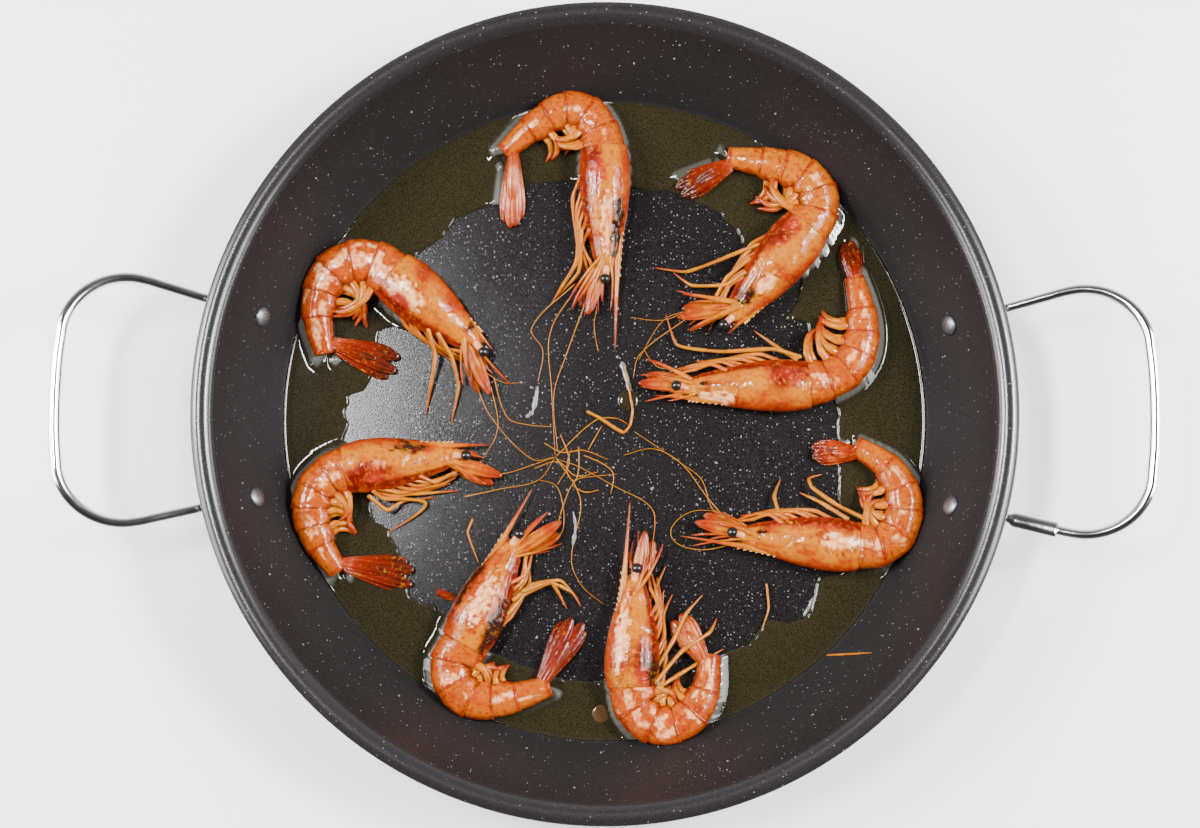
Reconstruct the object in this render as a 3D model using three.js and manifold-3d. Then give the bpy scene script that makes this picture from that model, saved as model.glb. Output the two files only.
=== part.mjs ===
// A 34 cm non-stick paella pan with two wire handles, each on two rivets, and eight whole shrimps
// that fry on their sides in a ring of oil. Millimetres, +Z up. The origin is the middle of the
// flat underside, and +X runs out through one handle.
import * as THREE from 'three';
import { mergeVertices } from 'three/addons/utils/BufferGeometryUtils.js';
import Module from 'manifold-3d';

const rad = THREE.MathUtils.degToRad;
const lerp = THREE.MathUtils.lerp;
const GAP = 0.3; // between pieces that touch

// Pan: pressed sheet with a thick floor that is a little higher in the middle.
const PAN_SEGMENTS = 56;
const RIM_R = 170; // outer edge of the lip
const RIM_Z = 48; // height of that edge
const LIP_R = 7; // bend of the lip, upper face
const LIP_DROOP = rad(30); // how far the lip's edge turns down past level
const WALL_SLOPE = rad(62); // from level
const WALL_T = 1.8;
const CORNER_R = 7; // between floor and wall, inside
const FLOOR_EDGE_Z = 2.8;
const FLOOR_RISE = 1.4; // middle of the floor over its edge

// Oil: lies in the low ring of the floor and leaves a dry patch in the middle.
const OIL_Z = 4.4;
const OIL_CLIMB = { up: 0.4, over: 1.8 }; // how high it creeps up the wall, and over what width
const OIL_BANK = { down: 0.35, low: 0.2, top: 1.2 }; // its rounded edge on the dry side
const OIL_SEGMENTS = 48;
// Radius of the dry patch, one value every 15 degrees from +X towards +Y.
const DRY_PATCH = [100, 100, 93, 97, 101, 102, 102, 106, 105, 106, 105, 103,
  112, 108, 105, 113, 110, 114, 113, 112, 114, 120, 112, 106];

// Handles: round wire whose ends are pressed into flat tabs and riveted to the wall.
const WIRE_R = 2.5;
const WIRE_SIDES = 6;
const HANDLE_REACH = 222; // middle of the grip bar from the pan's axis
const HANDLE_CORNER_R = 26;
const HANDLE_SLOPE = rad(17);
const GRIP_BOW = 1.2; // how far the grip bar curves outwards in its middle
const TAB = { length: 17, width: 11, thick: 2.5 };
const TAB_NECK = 0.5; // width of its straight end, over its round end's
// How far up the wall from its rivet an arm starts and bends away, how far the bend stands off the
// tab, and the level run outside it.
const ARM = { foot: 7, bend: 12, standOff: 1, run: 6 };
// The stretch of one arm that is pressed flat: its radii, the ramp at each end, and its width and
// thickness over the wire's.
const FLAT_SPOT = { side: 1, end: -1, from: 174, to: 192, ramp: 2, wide: 1.3, thick: 0.62 };
const RIVET_ANGLE = rad(14.7); // each side of the handle's middle
const RIVET_Z = 26;
const RIVET = { shankR: 2.4, headR: 4.5, headH: 1.9, tailR: 4.0, tailH: 1.4 };

// Shrimps: place of the neck, compass of the head, lengths of carapace, abdomen, fan and rostrum,
// bends in degrees at the neck, the five abdomen joints and the fan, how stout each one is, how
// far the antennal scales turn towards the belly, and the routes of the legs that stretch away
// from the body, from hip to tip.
const SHRIMPS = [
  { neck: [-2, 116], head: 272, carapace: 47, abdomen: 60, fan: 33, rostrum: 42,
    bends: [12, 24, 40, 38, 9, 7, 48], stout: 0.95, scales: 16,
    legs: [[[-12, 112], [-20, 104], [-27, 103]]] },
  { neck: [86, 82], head: 231, carapace: 45, abdomen: 61, fan: 27, rostrum: 12,
    bends: [7, 35, 35, 31, 9, 3, 37], stout: 1.03, scales: 40,
    legs: [[[62, 72], [38, 63], [21, 65]], [[52, 57], [37, 57], [29, 63]]] },
  { neck: [87, 14], head: 182, carapace: 46, abdomen: 61, fan: 18, rostrum: 20,
    bends: [13, 15, 26, 22, 15, 9, -2], stout: 0.96, scales: 3,
    legs: [[[78, 24], [50, 28], [31, 31], [26, 43]], [[76, 24], [64, 38]]] },
  { neck: [108, -55], head: 175, carapace: 43, abdomen: 66, fan: 20, rostrum: 33,
    bends: [8, 36, 34, 28, 24, 22, 33], stout: 0.98, scales: 5,
    legs: [[[76, -46], [73, -34], [76, -26]], [[106, -46], [90, -32], [88, -26], [95, -24]]] },
  { neck: [13, -115], head: 89, carapace: 39, abdomen: 63, fan: 22, rostrum: 40,
    bends: [12, 38, 40, 35, 29, 19, 40], stout: 1.0, scales: 6,
    legs: [[[20, -120], [50, -101]], [[22, -116], [28, -103], [26, -84], [30, -75]]] },
  { neck: [-58, -98], head: 65, carapace: 41, abdomen: 62, fan: 31, rostrum: 31,
    bends: [-10, 44, 38, 38, 16, 7, 42], stout: 1.01, scales: 30,
    legs: [[[-38, -75], [-18, -71], [-11, -80]]] },
  { neck: [-110, -25], head: 8, carapace: 41, abdomen: 54, fan: 32, rostrum: 21,
    bends: [14, 26, 28, 24, 14, 11, 46], stout: 0.99, scales: 22,
    legs: [[[-100, -34], [-78, -38], [-93, -49]]] },
  { neck: [-92, 59], head: 321, carapace: 41, abdomen: 66, fan: 31, rostrum: 13,
    bends: [5, 32, 31, 35, 21, 17, 60], stout: 1.07, scales: 26,
    legs: [[[-75, 36], [-73, 22], [-77, 2]], [[-66, 32], [-64, 18], [-67, -2]]] },
];
const NOSE = 8; // the eyes and mouth ahead of the shell
const JOINTS = [0.15, 0.15, 0.15, 0.15, 0.17, 0.23]; // abdomen segments, as shares of its length
const NECK = 3; // place of the neck on the spine, which counts one for each stretch
const BODY_SIDES = 8;
const THICK = 0.76; // height of a body that lies on its side, over its depth from back to belly
const REST_Z = OIL_Z + GAP; // every shrimp lies this high, clear of the oil and of the floor
const REST = 0.92; // height of the body's middle line, over half its height: the flat under side
// Half depth from nose to neck, by place on the spine.
const SHELL = [[0, 2.4], [0.5, 4.4], [1, 5.8], [1.35, 8], [1.8, 10], [2.3, 11.2], [2.72, 11.2], [3, 10.2]];
const DEPTHS = [9.3, 9.0, 8.7, 8.2, 7.5, 6.4, 4.2]; // half depth at each joint from neck to fan
const OVERLAP = 1.05; // each ring of shell stands proud of the next
const HEAD_LIFT = 8; // the nose lies as high as a body of this half depth
// Places on the head are measured ahead of the shell's front, down towards the belly, and up.
const EYE = { r: 2.6, ahead: 6, up: 2.6 };
const ROSTRUM_ROOT = 0.4; // how far back on the shell it starts, as a share of the carapace
const ROSTRUM_DOWN = [-6, -4.6, -3.6, -2.6]; // its root, the shell's front, its middle and its tip
const ROSTRUM_UP = [1, 1, 0.5, -0.5];
const ROSTRUM_HALVES = [[2.4, 2], [2.2, 1.6], [1.4, 1], [0.35, 0.3]];
const SCALE = { down: 1, turn: 9, levels: [1.6, -1.8], rise: 1 / 60, fall: 0.04 };
const SCALE_REACH = [1, 14, 26]; // root, middle and tip
const SCALE_HALVES = [[1.8, 1.1], [4, 0.9], [1.2, 0.5]];
const LIMB_SIDES = 3;
const LIMB_Z = 6.4; // tips of legs and paddles lie this high, over the oil
// Folded legs, from the first to the last: places on the spine and distances out from it.
const FOLDED_LEGS = 3;
const HIPS = { places: [1.5, 2.8], out: 7.5, up: 2 };
const KNEES = { places: [0.9, 2], out: 9.5, step: 1.2, up: 1.2 };
const TIPS = { places: [0.1, 0.5], out: 6, step: 1.6 };
const FOLDED_HALVES = [[1.3, 1.2], [1, 1], [0.4, 0.4]];
const STRETCHED = { rootUp: 1.8, tipUp: -0.6, rootR: 1.2, tipR: 0.5 };
const PADDLES = 4;
// Length and how much each is shorter than the one before, its root on the body and its bend as
// shares, heights of both, and how far it leans towards the tail, in degrees.
const PADDLE = { length: 9.5, shrink: 0.06, root: 0.75, rootUp: 1.4, bend: 0.55, bendUp: 0.6 };
const PADDLE_LEAN = [22, 38];
const PADDLE_HALVES = [[1.7, 1.2], [2.3, 1], [0.9, 0.6]];
const FAN_SPREAD = [-9, -4.5, 0.5, 5.5, 10]; // degrees, one for each blade
const FAN_LENGTHS = [0.9, 1, 0.84, 0.97, 0.86];
const FAN_STEP = 1.7; // each blade lies this much higher than the one outside it
const FAN_TUCK = 0.15; // how far the blades start inside the last ring, by place on the spine
// Along each blade: share of its length, half width and half height.
const FAN_BLADE = [[0, 1.4, 0.9], [0.6, 3, 0.8], [1, 1.4, 0.4]];

// Legs that came off and lie on the dry floor: routes from end to end.
const LOOSE_LEGS = [
  [[-8, 2], [10, -8], [12, 3], [8, 22]],
  [[-56, -45], [-58, -51], [-54, -61]],
  [[70, -72], [71, -82], [68, -90]],
];
const LOOSE_LEG = { width: [1.3, 0.7], height: [0.9, 0.6] }; // halves, from the first end to the last

const SHRIMP_ORANGE = 0xe8894a;
const COATING_BLACK = 0x2b2a2c;
const STEEL_GREY = 0xb9b9bb;
const OIL_OLIVE = 0x2f2d1a;

const wasm = await Module();
wasm.setup();

// ---- solids ----

function solid(geometry) {
  const bare = new THREE.BufferGeometry();
  bare.setAttribute('position', geometry.attributes.position.clone());
  if (geometry.index) bare.setIndex(geometry.index.clone());
  const merged = mergeVertices(bare, 1e-4);
  return new wasm.Manifold(new wasm.Mesh({
    numProp: 3,
    vertProperties: new Float32Array(merged.attributes.position.array),
    triVerts: new Uint32Array(merged.index.array),
  }));
}

function shell(body) {
  const { vertProperties, triVerts } = body.getMesh();
  const geometry = new THREE.BufferGeometry();
  geometry.setAttribute('position', new THREE.BufferAttribute(vertProperties, 3));
  geometry.setIndex(new THREE.BufferAttribute(triVerts, 1));
  geometry.computeVertexNormals();
  return geometry;
}

// A closed body through a row of stations, each with a centre and two half axes.
function loft(stations, sides) {
  const geometry = new THREE.CylinderGeometry(1, 1, 1, sides, stations.length - 1);
  const position = geometry.attributes.position;
  const corner = new THREE.Vector3();
  for (let i = 0; i < position.count; i++) {
    corner.fromBufferAttribute(position, i);
    const { at, across, up } = stations[Math.round((0.5 - corner.y) * (stations.length - 1))];
    const place = at.clone().addScaledVector(across, corner.x).addScaledVector(up, corner.z);
    position.setXYZ(i, place.x, place.y, place.z);
  }
  return geometry;
}

// The same along a path of points, with half the width and half the height at each.
function limb(path, halves, sides = LIMB_SIDES) {
  const stations = path.map((at, i) => {
    const along = path[Math.min(i + 1, path.length - 1)].clone().sub(path[Math.max(i - 1, 0)]).normalize();
    const across = new THREE.Vector3(0, 0, 1).cross(along).normalize();
    const up = along.clone().cross(across);
    return { at, across: across.multiplyScalar(halves[i][0]), up: up.multiplyScalar(halves[i][1]) };
  });
  return loft(stations, sides);
}

function mesh(name, geometry, color, roughness, metalness) {
  const made = new THREE.Mesh(geometry, new THREE.MeshStandardMaterial({ color, roughness, metalness }));
  made.name = name;
  return made;
}

// ---- pan ----

const lipCentre = new THREE.Vector2(
  RIM_R - LIP_R * Math.sin(LIP_DROOP), RIM_Z - LIP_R * Math.cos(LIP_DROOP));
const wallTop = new THREE.Vector2(
  lipCentre.x - LIP_R * Math.sin(WALL_SLOPE), lipCentre.y + LIP_R * Math.cos(WALL_SLOPE));
const wallRadius = (z) => wallTop.x - (wallTop.y - z) / Math.tan(WALL_SLOPE);
const cornerRun = Math.tan(WALL_SLOPE / 2); // a corner's tangent length over its radius
const floorRadius = wallRadius(FLOOR_EDGE_Z) - CORNER_R * cornerRun;
const floorZ = (r) => FLOOR_EDGE_Z + FLOOR_RISE * (1 - Math.min(1, r / floorRadius) ** 2);

// Radius of the inner face at a height: corner first, then the straight wall.
function innerRadius(z) {
  const rise = Math.max(0, z - FLOOR_EDGE_Z);
  if (rise >= CORNER_R * (1 - Math.cos(WALL_SLOPE))) return wallRadius(z);
  return floorRadius + Math.sqrt(CORNER_R ** 2 - (CORNER_R - rise) ** 2);
}

function arc(centre, radius, from, to, steps) {
  return Array.from({ length: steps + 1 }, (_, i) => {
    const angle = lerp(from, to, i / steps);
    return new THREE.Vector2(centre.x + radius * Math.cos(angle), centre.y + radius * Math.sin(angle));
  });
}

function panGeometry() {
  const outerR = CORNER_R + WALL_T;
  const footR = wallRadius(0) + WALL_T / Math.sin(WALL_SLOPE) - outerR * cornerRun;
  const down = -Math.PI / 2;
  const lipStart = Math.PI / 2 + WALL_SLOPE;
  const lipEnd = Math.PI / 2 - LIP_DROOP;
  const profile = [
    new THREE.Vector2(0, 0),
    ...arc(new THREE.Vector2(footR, outerR), outerR, down, down + WALL_SLOPE, 2),
    ...arc(lipCentre, LIP_R - WALL_T, lipStart, lipEnd, 2),
    ...arc(lipCentre, LIP_R, lipEnd, lipStart, 3),
    ...arc(new THREE.Vector2(floorRadius, FLOOR_EDGE_Z + CORNER_R), CORNER_R, down + WALL_SLOPE, down, 3),
    new THREE.Vector2(floorRadius / 2, floorZ(floorRadius / 2)),
    new THREE.Vector2(0, floorZ(0)),
  ];
  return new THREE.LatheGeometry(profile, PAN_SEGMENTS).rotateX(Math.PI / 2);
}

// ---- rivets and handles ----

// Where a rivet meets the inner wall, with the directions up the wall and out through it.
function rivetFrame(side, end) {
  const radial = new THREE.Vector3(side * Math.cos(RIVET_ANGLE), end * Math.sin(RIVET_ANGLE), 0);
  const level = (share, rise) => radial.clone().multiplyScalar(share).setZ(rise);
  return {
    at: level(wallRadius(RIVET_Z), RIVET_Z),
    slope: level(Math.cos(WALL_SLOPE), Math.sin(WALL_SLOPE)),
    out: level(Math.sin(WALL_SLOPE), -Math.cos(WALL_SLOPE)),
  };
}

const TAB_FACE = WALL_T + GAP; // the tab's face towards the wall, measured outwards
const TAB_BACK = TAB_FACE + TAB.thick;

// Turns a geometry so that its own +Y goes out through the wall and its +Z up the slope.
function onWall(geometry, { at, slope, out }) {
  const across = out.clone().cross(slope);
  return geometry.applyMatrix4(new THREE.Matrix4().makeBasis(across, out, slope).setPosition(at));
}

function rivetGeometry(frame) {
  const { shankR, headR, headH, tailR, tailH } = RIVET;
  const tail = TAB_BACK + GAP;
  const profile = [
    [0, -GAP - headH], [headR * 0.7, -GAP - headH * 0.75], [headR, -GAP],
    [shankR, -GAP], [shankR, tail], [tailR, tail], [tailR * 0.8, tail + tailH], [0, tail + tailH],
  ].map(([x, y]) => new THREE.Vector2(x, y));
  return onWall(new THREE.LatheGeometry(profile, 8), frame);
}

function rivetHole(frame) {
  const r = RIVET.shankR + GAP;
  return solid(onWall(new THREE.CylinderGeometry(r, r, 20, 8), frame));
}

function tabGeometry(frame) {
  const r = TAB.width / 2;
  const outline = new THREE.Shape();
  outline.absarc(0, 0, r, Math.PI, 2 * Math.PI);
  outline.lineTo(r * TAB_NECK, TAB.length - r);
  outline.lineTo(-r * TAB_NECK, TAB.length - r);
  const plate = new THREE.ExtrudeGeometry(
    outline, { depth: TAB.thick, bevelEnabled: false, curveSegments: 5 });
  return onWall(plate.rotateX(Math.PI / 2).translate(0, TAB_BACK, 0), frame);
}

// One arm's centre line, from the middle of the grip bar round the corner and in to its tab.
function armPath(side, end) {
  const { at, slope, out } = rivetFrame(side, end);
  const onTab = (up, standOff) =>
    at.clone().addScaledVector(slope, up).addScaledVector(out, TAB_BACK + standOff);
  const foot = onTab(ARM.foot, 0);
  const bend = onTab(ARM.bend, ARM.standOff);
  const turn = Math.PI / 2 + RIVET_ANGLE;
  const gripEnd = HANDLE_REACH * Math.tan(RIVET_ANGLE) - HANDLE_CORNER_R * Math.tan(turn / 2);
  const corner = new THREE.Vector2(HANDLE_REACH - HANDLE_CORNER_R, gripEnd);
  const onGrip = (share) => new THREE.Vector2(HANDLE_REACH + GRIP_BOW * (1 - share ** 2), gripEnd * share);
  const onArm = (r) => new THREE.Vector2(r * Math.cos(RIVET_ANGLE), r * Math.sin(RIVET_ANGLE));
  const { from, to, ramp } = FLAT_SPOT;
  const plan = [
    ...[0, 0.55].map(onGrip),
    ...arc(corner, HANDLE_CORNER_R, 0, turn, 5),
    ...[to + ramp, to, from, from - ramp, Math.hypot(bend.x, bend.y) + ARM.run].map(onArm),
  ];
  const rise = Math.tan(HANDLE_SLOPE) / Math.cos(RIVET_ANGLE);
  const route = plan.map(({ x, y }) =>
    new THREE.Vector3(side * x, end * y, bend.z + (x - Math.abs(bend.x)) * rise));
  return [...route, bend, foot];
}

function handleGeometry(side) {
  const arms = [1, -1].map((end) => ({ end, path: armPath(side, end) }));
  const { from, to, ramp, wide, thick } = FLAT_SPOT;
  const halvesOf = ({ end, path }) => path.map(({ x, y }) => {
    const r = Math.hypot(x, y);
    const onSpot = side === FLAT_SPOT.side && end === FLAT_SPOT.end;
    const pressed = onSpot && r > from - ramp / 2 && r < to + ramp / 2;
    return pressed ? [WIRE_R * wide, WIRE_R * thick] : [WIRE_R, WIRE_R];
  });
  const path = [...arms[0].path.slice(1).reverse(), ...arms[1].path];
  const halves = [...halvesOf(arms[0]).slice(1).reverse(), ...halvesOf(arms[1])];
  let handle = solid(limb(path, halves, WIRE_SIDES));
  for (const { end } of arms) {
    const frame = rivetFrame(side, end);
    handle = handle.add(solid(tabGeometry(frame))).subtract(rivetHole(frame));
  }
  return shell(handle);
}

// ---- shrimps ----

// The spine in plan, from the eyes to the root of the fan.
function spineOf({ neck, head, carapace, abdomen, bends }) {
  const walk = (from, length, angle) =>
    new THREE.Vector3(from.x + length * Math.cos(angle), from.y + length * Math.sin(angle), 0);
  const start = new THREE.Vector3(...neck, 0);
  const points = [carapace + NOSE, carapace, carapace / 2, 0].map((ahead) => walk(start, ahead, rad(head)));
  let angle = rad(head) + Math.PI;
  JOINTS.forEach((share, i) => {
    angle += rad(bends[i]);
    points.push(walk(points.at(-1), abdomen * share, angle));
  });
  return {
    curve: new THREE.CatmullRomCurve3(points, false, 'centripetal'),
    last: points.length - 1,
    fanAngle: angle + rad(bends.at(-1)),
  };
}

// A point beside the spine: place along it, offset towards the belly, and height.
function beside(spine, place, offset, z) {
  const share = THREE.MathUtils.clamp(place / spine.last, 0, 1);
  const along = spine.curve.getTangent(share);
  const belly = new THREE.Vector3(-along.y, along.x, 0);
  return spine.curve.getPoint(share).addScaledVector(belly, offset).setZ(z);
}

// Half depths along the whole body: shell, then the start and end of each ring of the abdomen.
function depthsOf(stout) {
  const rings = JOINTS.flatMap((_, i) => [
    [NECK + i + 0.1, DEPTHS[i] * 0.98],
    [NECK + i + 0.92, DEPTHS[i + 1] * OVERLAP],
  ]);
  return [...SHELL, ...rings].map(([place, half]) => [place, half * stout]);
}

const middleZ = (half) => REST_Z + REST * THICK * half;

// The body alone, flat underneath and kept off the wall.
function bodyGeometry(spine, stout) {
  const stations = depthsOf(stout).map(([place, half]) => {
    const at = beside(spine, place, 0, middleZ(place < 2 ? Math.max(half, HEAD_LIFT) : half));
    const across = beside(spine, place, half, at.z).sub(at);
    return { at, across, up: new THREE.Vector3(0, 0, half * THICK) };
  });
  const geometry = loft(stations, BODY_SIDES);
  const position = geometry.attributes.position;
  for (let i = 0; i < position.count; i++) {
    const [x, y, z] = [position.getX(i), position.getY(i), Math.max(position.getZ(i), REST_Z)];
    const inside = Math.min(1, (innerRadius(z) - 2 * GAP) / Math.hypot(x, y));
    position.setXYZ(i, x * inside, y * inside, z);
  }
  return geometry;
}

function headPieces(spine, { head, carapace, rostrum, scales }) {
  const forward = new THREE.Vector3(Math.cos(rad(head)), Math.sin(rad(head)), 0);
  const belly = new THREE.Vector3(forward.y, -forward.x, 0);
  const nose = beside(spine, 1, 0, middleZ(HEAD_LIFT));
  const place = (ahead, down, up) => nose.clone().addScaledVector(forward, ahead)
    .addScaledVector(belly, down).add(new THREE.Vector3(0, 0, up));
  const spikeReach = [-carapace * ROSTRUM_ROOT, 0, rostrum / 2, rostrum];
  const spike = limb(
    spikeReach.map((ahead, i) => place(ahead, ROSTRUM_DOWN[i], ROSTRUM_UP[i])), ROSTRUM_HALVES);
  const blades = SCALE.levels.map((level, i) => {
    const turn = rad(scales + SCALE.turn * i);
    const path = SCALE_REACH.map((r) => place(
      r * Math.cos(turn), SCALE.down + r * Math.sin(turn), level * (1 + r * SCALE.rise) - r * SCALE.fall));
    return limb(path, SCALE_HALVES, 4);
  });
  const eye = new THREE.SphereGeometry(EYE.r, 6, 4).translate(...place(EYE.ahead, 0, EYE.up).toArray());
  return [spike, ...blades, eye];
}

function legPieces(spine, { legs }, dice) {
  const folded = Array.from({ length: FOLDED_LEGS }, (_, i) => {
    const placeOf = ({ places }) => lerp(...places, i / (FOLDED_LEGS - 1));
    const hip = beside(spine, placeOf(HIPS), HIPS.out, LIMB_Z + HIPS.up);
    const tip = beside(spine, placeOf(TIPS), TIPS.out + TIPS.step * i + dice(), LIMB_Z);
    const knee = beside(spine, placeOf(KNEES), KNEES.out + KNEES.step * i + dice(), LIMB_Z + KNEES.up);
    return limb([hip, knee, tip], FOLDED_HALVES);
  });
  const { rootUp, tipUp, rootR, tipR } = STRETCHED;
  const stretched = legs.map((route) => {
    const share = (i) => i / (route.length - 1);
    const path = route.map(([x, y], i) => new THREE.Vector3(x, y, LIMB_Z + lerp(rootUp, tipUp, share(i))));
    return limb(path, path.map((_, i) => Array(2).fill(lerp(rootR, tipR, share(i)))));
  });
  return [...folded, ...stretched];
}

// The paired paddles under the abdomen, one side of each showing.
function paddlePieces(spine, stout, dice) {
  return Array.from({ length: PADDLES }, (_, i) => {
    const place = NECK + 0.5 + i;
    const hip = beside(spine, place, DEPTHS[i] * stout * PADDLE.root, LIMB_Z + PADDLE.rootUp);
    const away = beside(spine, place, 1, 0).sub(beside(spine, place, 0, 0));
    away.applyAxisAngle(new THREE.Vector3(0, 0, 1), rad(lerp(...PADDLE_LEAN, dice())));
    const length = PADDLE.length * (1 - PADDLE.shrink * i) * lerp(0.9, 1.1, dice());
    const middle = hip.clone().addScaledVector(away, length * PADDLE.bend).setZ(LIMB_Z + PADDLE.bendUp);
    const tip = hip.clone().addScaledVector(away, length).setZ(LIMB_Z);
    return limb([hip, middle, tip], PADDLE_HALVES);
  });
}

function fanPieces(spine, { fan }) {
  const root = beside(spine, spine.last - FAN_TUCK, 0, 0);
  return FAN_SPREAD.map((spread, i) => {
    const angle = spine.fanAngle + rad(spread);
    const out = new THREE.Vector3(Math.cos(angle), Math.sin(angle), 0);
    const z = LIMB_Z + FAN_STEP * (2 - Math.abs(i - 2));
    const length = fan * FAN_LENGTHS[i];
    const path = FAN_BLADE.map(([share]) => root.clone().addScaledVector(out, length * share).setZ(z));
    return limb(path, FAN_BLADE.map(([, ...halves]) => halves), 4);
  });
}

// A small generator of numbers from 0 to 1, the same on every run.
function diceFor(seed) {
  let state = seed * 7919;
  return () => {
    state = (state * 16807) % 2147483647;
    return state / 2147483647;
  };
}

function shrimpGeometry(spec, i) {
  const spine = spineOf(spec);
  const dice = diceFor(i + 1);
  const pieces = [
    bodyGeometry(spine, spec.stout),
    ...headPieces(spine, spec),
    ...legPieces(spine, spec, dice),
    ...paddlePieces(spine, spec.stout, dice),
    ...fanPieces(spine, spec),
  ];
  // The largest body of the join is its outer skin, with any sealed hollow filled.
  const joined = pieces.map(solid).reduce((all, piece) => all.add(piece));
  return shell(joined.decompose().sort((a, b) => b.volume() - a.volume())[0]);
}

function looseLegGeometry(route) {
  const { width, height } = LOOSE_LEG;
  const path = route.map(([x, y]) => new THREE.Vector3(x, y, floorZ(Math.hypot(x, y)) + GAP + height[0]));
  const halvesAt = (share) => [lerp(...width, share), lerp(...height, share)];
  return limb(path, path.map((_, i) => halvesAt(i / (path.length - 1))));
}

// ---- oil ----

const dryEdge = new THREE.CatmullRomCurve3(DRY_PATCH.map((r, i) => {
  const angle = 2 * Math.PI * i / DRY_PATCH.length;
  return new THREE.Vector3(r * Math.cos(angle), r * Math.sin(angle), 0);
}), true);

function oilGeometry() {
  const wallR = innerRadius(OIL_Z + OIL_CLIMB.up) - 2 * GAP;
  const cornerZ = FLOOR_EDGE_Z + 2 * GAP;
  const [dry, wet] = [90, floorRadius]; // the dry edge is drawn round, then pulled to its outline
  const profile = [
    [dry, FLOOR_EDGE_Z], [wet, FLOOR_EDGE_Z], [innerRadius(cornerZ) - 2 * GAP, cornerZ],
    [wallR, OIL_Z + OIL_CLIMB.up], [wallR - OIL_CLIMB.over, OIL_Z],
    [dry + OIL_BANK.top, OIL_Z], [dry + OIL_BANK.low, OIL_Z - OIL_BANK.down],
    [dry, FLOOR_EDGE_Z],
  ].map(([r, z]) => new THREE.Vector2(r, z));
  const ring = new THREE.LatheGeometry(profile, OIL_SEGMENTS).rotateX(Math.PI / 2);
  const position = ring.attributes.position;
  for (let i = 0; i < position.count; i++) {
    const [x, y, z] = [position.getX(i), position.getY(i), position.getZ(i)];
    const r = Math.hypot(x, y);
    const turn = (Math.atan2(y, x) / (2 * Math.PI) + 1) % 1;
    const outline = dryEdge.getPoint(turn).length();
    const pulled = r < wet ? lerp(outline, wet, (r - dry) / (wet - dry)) : r;
    const height = z < FLOOR_EDGE_Z + 0.01 ? floorZ(pulled) + GAP : z;
    position.setXYZ(i, x * pulled / r, y * pulled / r, height);
  }
  return ring;
}

// ---- the whole ----

const SIDES = [[-1, 'left'], [1, 'right']];
const frames = SIDES.flatMap(([side]) => [1, -1].map((end) => rivetFrame(side, end)));
const drilled = frames.reduce((pan, frame) => pan.subtract(rivetHole(frame)), solid(panGeometry()));

const whole = new THREE.Group();
whole.add(mesh('pan', shell(drilled), COATING_BLACK, 0.45, 0.2));
SIDES.forEach(([side, name]) =>
  whole.add(mesh(`handle_${name}`, handleGeometry(side), STEEL_GREY, 0.15, 1)));
frames.forEach((frame, i) => whole.add(mesh(`rivet_${i + 1}`, rivetGeometry(frame), STEEL_GREY, 0.3, 1)));
whole.add(mesh('oil', oilGeometry(), OIL_OLIVE, 0.08, 0));
SHRIMPS.forEach((spec, i) =>
  whole.add(mesh(`shrimp_${i + 1}`, shrimpGeometry(spec, i), SHRIMP_ORANGE, 0.35, 0)));
LOOSE_LEGS.forEach((route, i) =>
  whole.add(mesh(`loose_leg_${i + 1}`, looseLegGeometry(route), SHRIMP_ORANGE, 0.4, 0)));

export default whole;
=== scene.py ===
import bisect
import functools
import math
import random

import bmesh
import bpy
import numpy as np
from mathutils import Matrix, Vector, geometry, noise


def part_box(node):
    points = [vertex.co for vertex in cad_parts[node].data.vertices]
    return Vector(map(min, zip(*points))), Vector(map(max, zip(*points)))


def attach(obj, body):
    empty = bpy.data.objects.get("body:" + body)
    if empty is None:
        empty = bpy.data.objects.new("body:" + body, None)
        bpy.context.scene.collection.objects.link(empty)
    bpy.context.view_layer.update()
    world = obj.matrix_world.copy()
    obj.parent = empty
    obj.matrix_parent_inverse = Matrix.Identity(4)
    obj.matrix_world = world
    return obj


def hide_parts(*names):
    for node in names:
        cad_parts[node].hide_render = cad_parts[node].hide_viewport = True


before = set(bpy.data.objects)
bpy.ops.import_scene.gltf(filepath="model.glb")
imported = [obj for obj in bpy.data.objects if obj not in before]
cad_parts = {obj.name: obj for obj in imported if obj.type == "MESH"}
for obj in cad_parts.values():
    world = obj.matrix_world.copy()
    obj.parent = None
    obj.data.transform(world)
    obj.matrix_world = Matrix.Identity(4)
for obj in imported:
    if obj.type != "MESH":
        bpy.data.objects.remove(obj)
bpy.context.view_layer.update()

# The table, the light and the camera. The pan stands on a plain white table in soft daylight that
# comes from both sides, and it is seen from almost straight above.
camera = bpy.data.objects.new("camera", bpy.data.cameras.new("camera"))
bpy.context.collection.objects.link(camera)
bpy.context.scene.camera = camera
camera.data.sensor_width = 36
camera.data.lens = 58.7
look_at = Vector((-0.002, -0.0037, 0.048))
tilt = Matrix.Rotation(math.radians(6), 4, "X")
roll = Matrix.Rotation(math.radians(0.7), 4, "Z")
stand_off = 0.8
camera.matrix_world = Matrix.Translation(look_at + tilt @ Vector((0, 0, stand_off))) @ tilt @ roll


def soft_light(name, place, width, height, power):
    """A rectangle of diffused light that faces the pan."""
    lamp = bpy.data.lights.new(name, "AREA")
    lamp.shape = "RECTANGLE"
    lamp.size, lamp.size_y, lamp.energy = width, height, power
    made = bpy.data.objects.new(name, lamp)
    bpy.context.collection.objects.link(made)
    made.location = place
    made.rotation_euler = (-Vector(place)).to_track_quat("-Z", "Y").to_euler()


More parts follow.
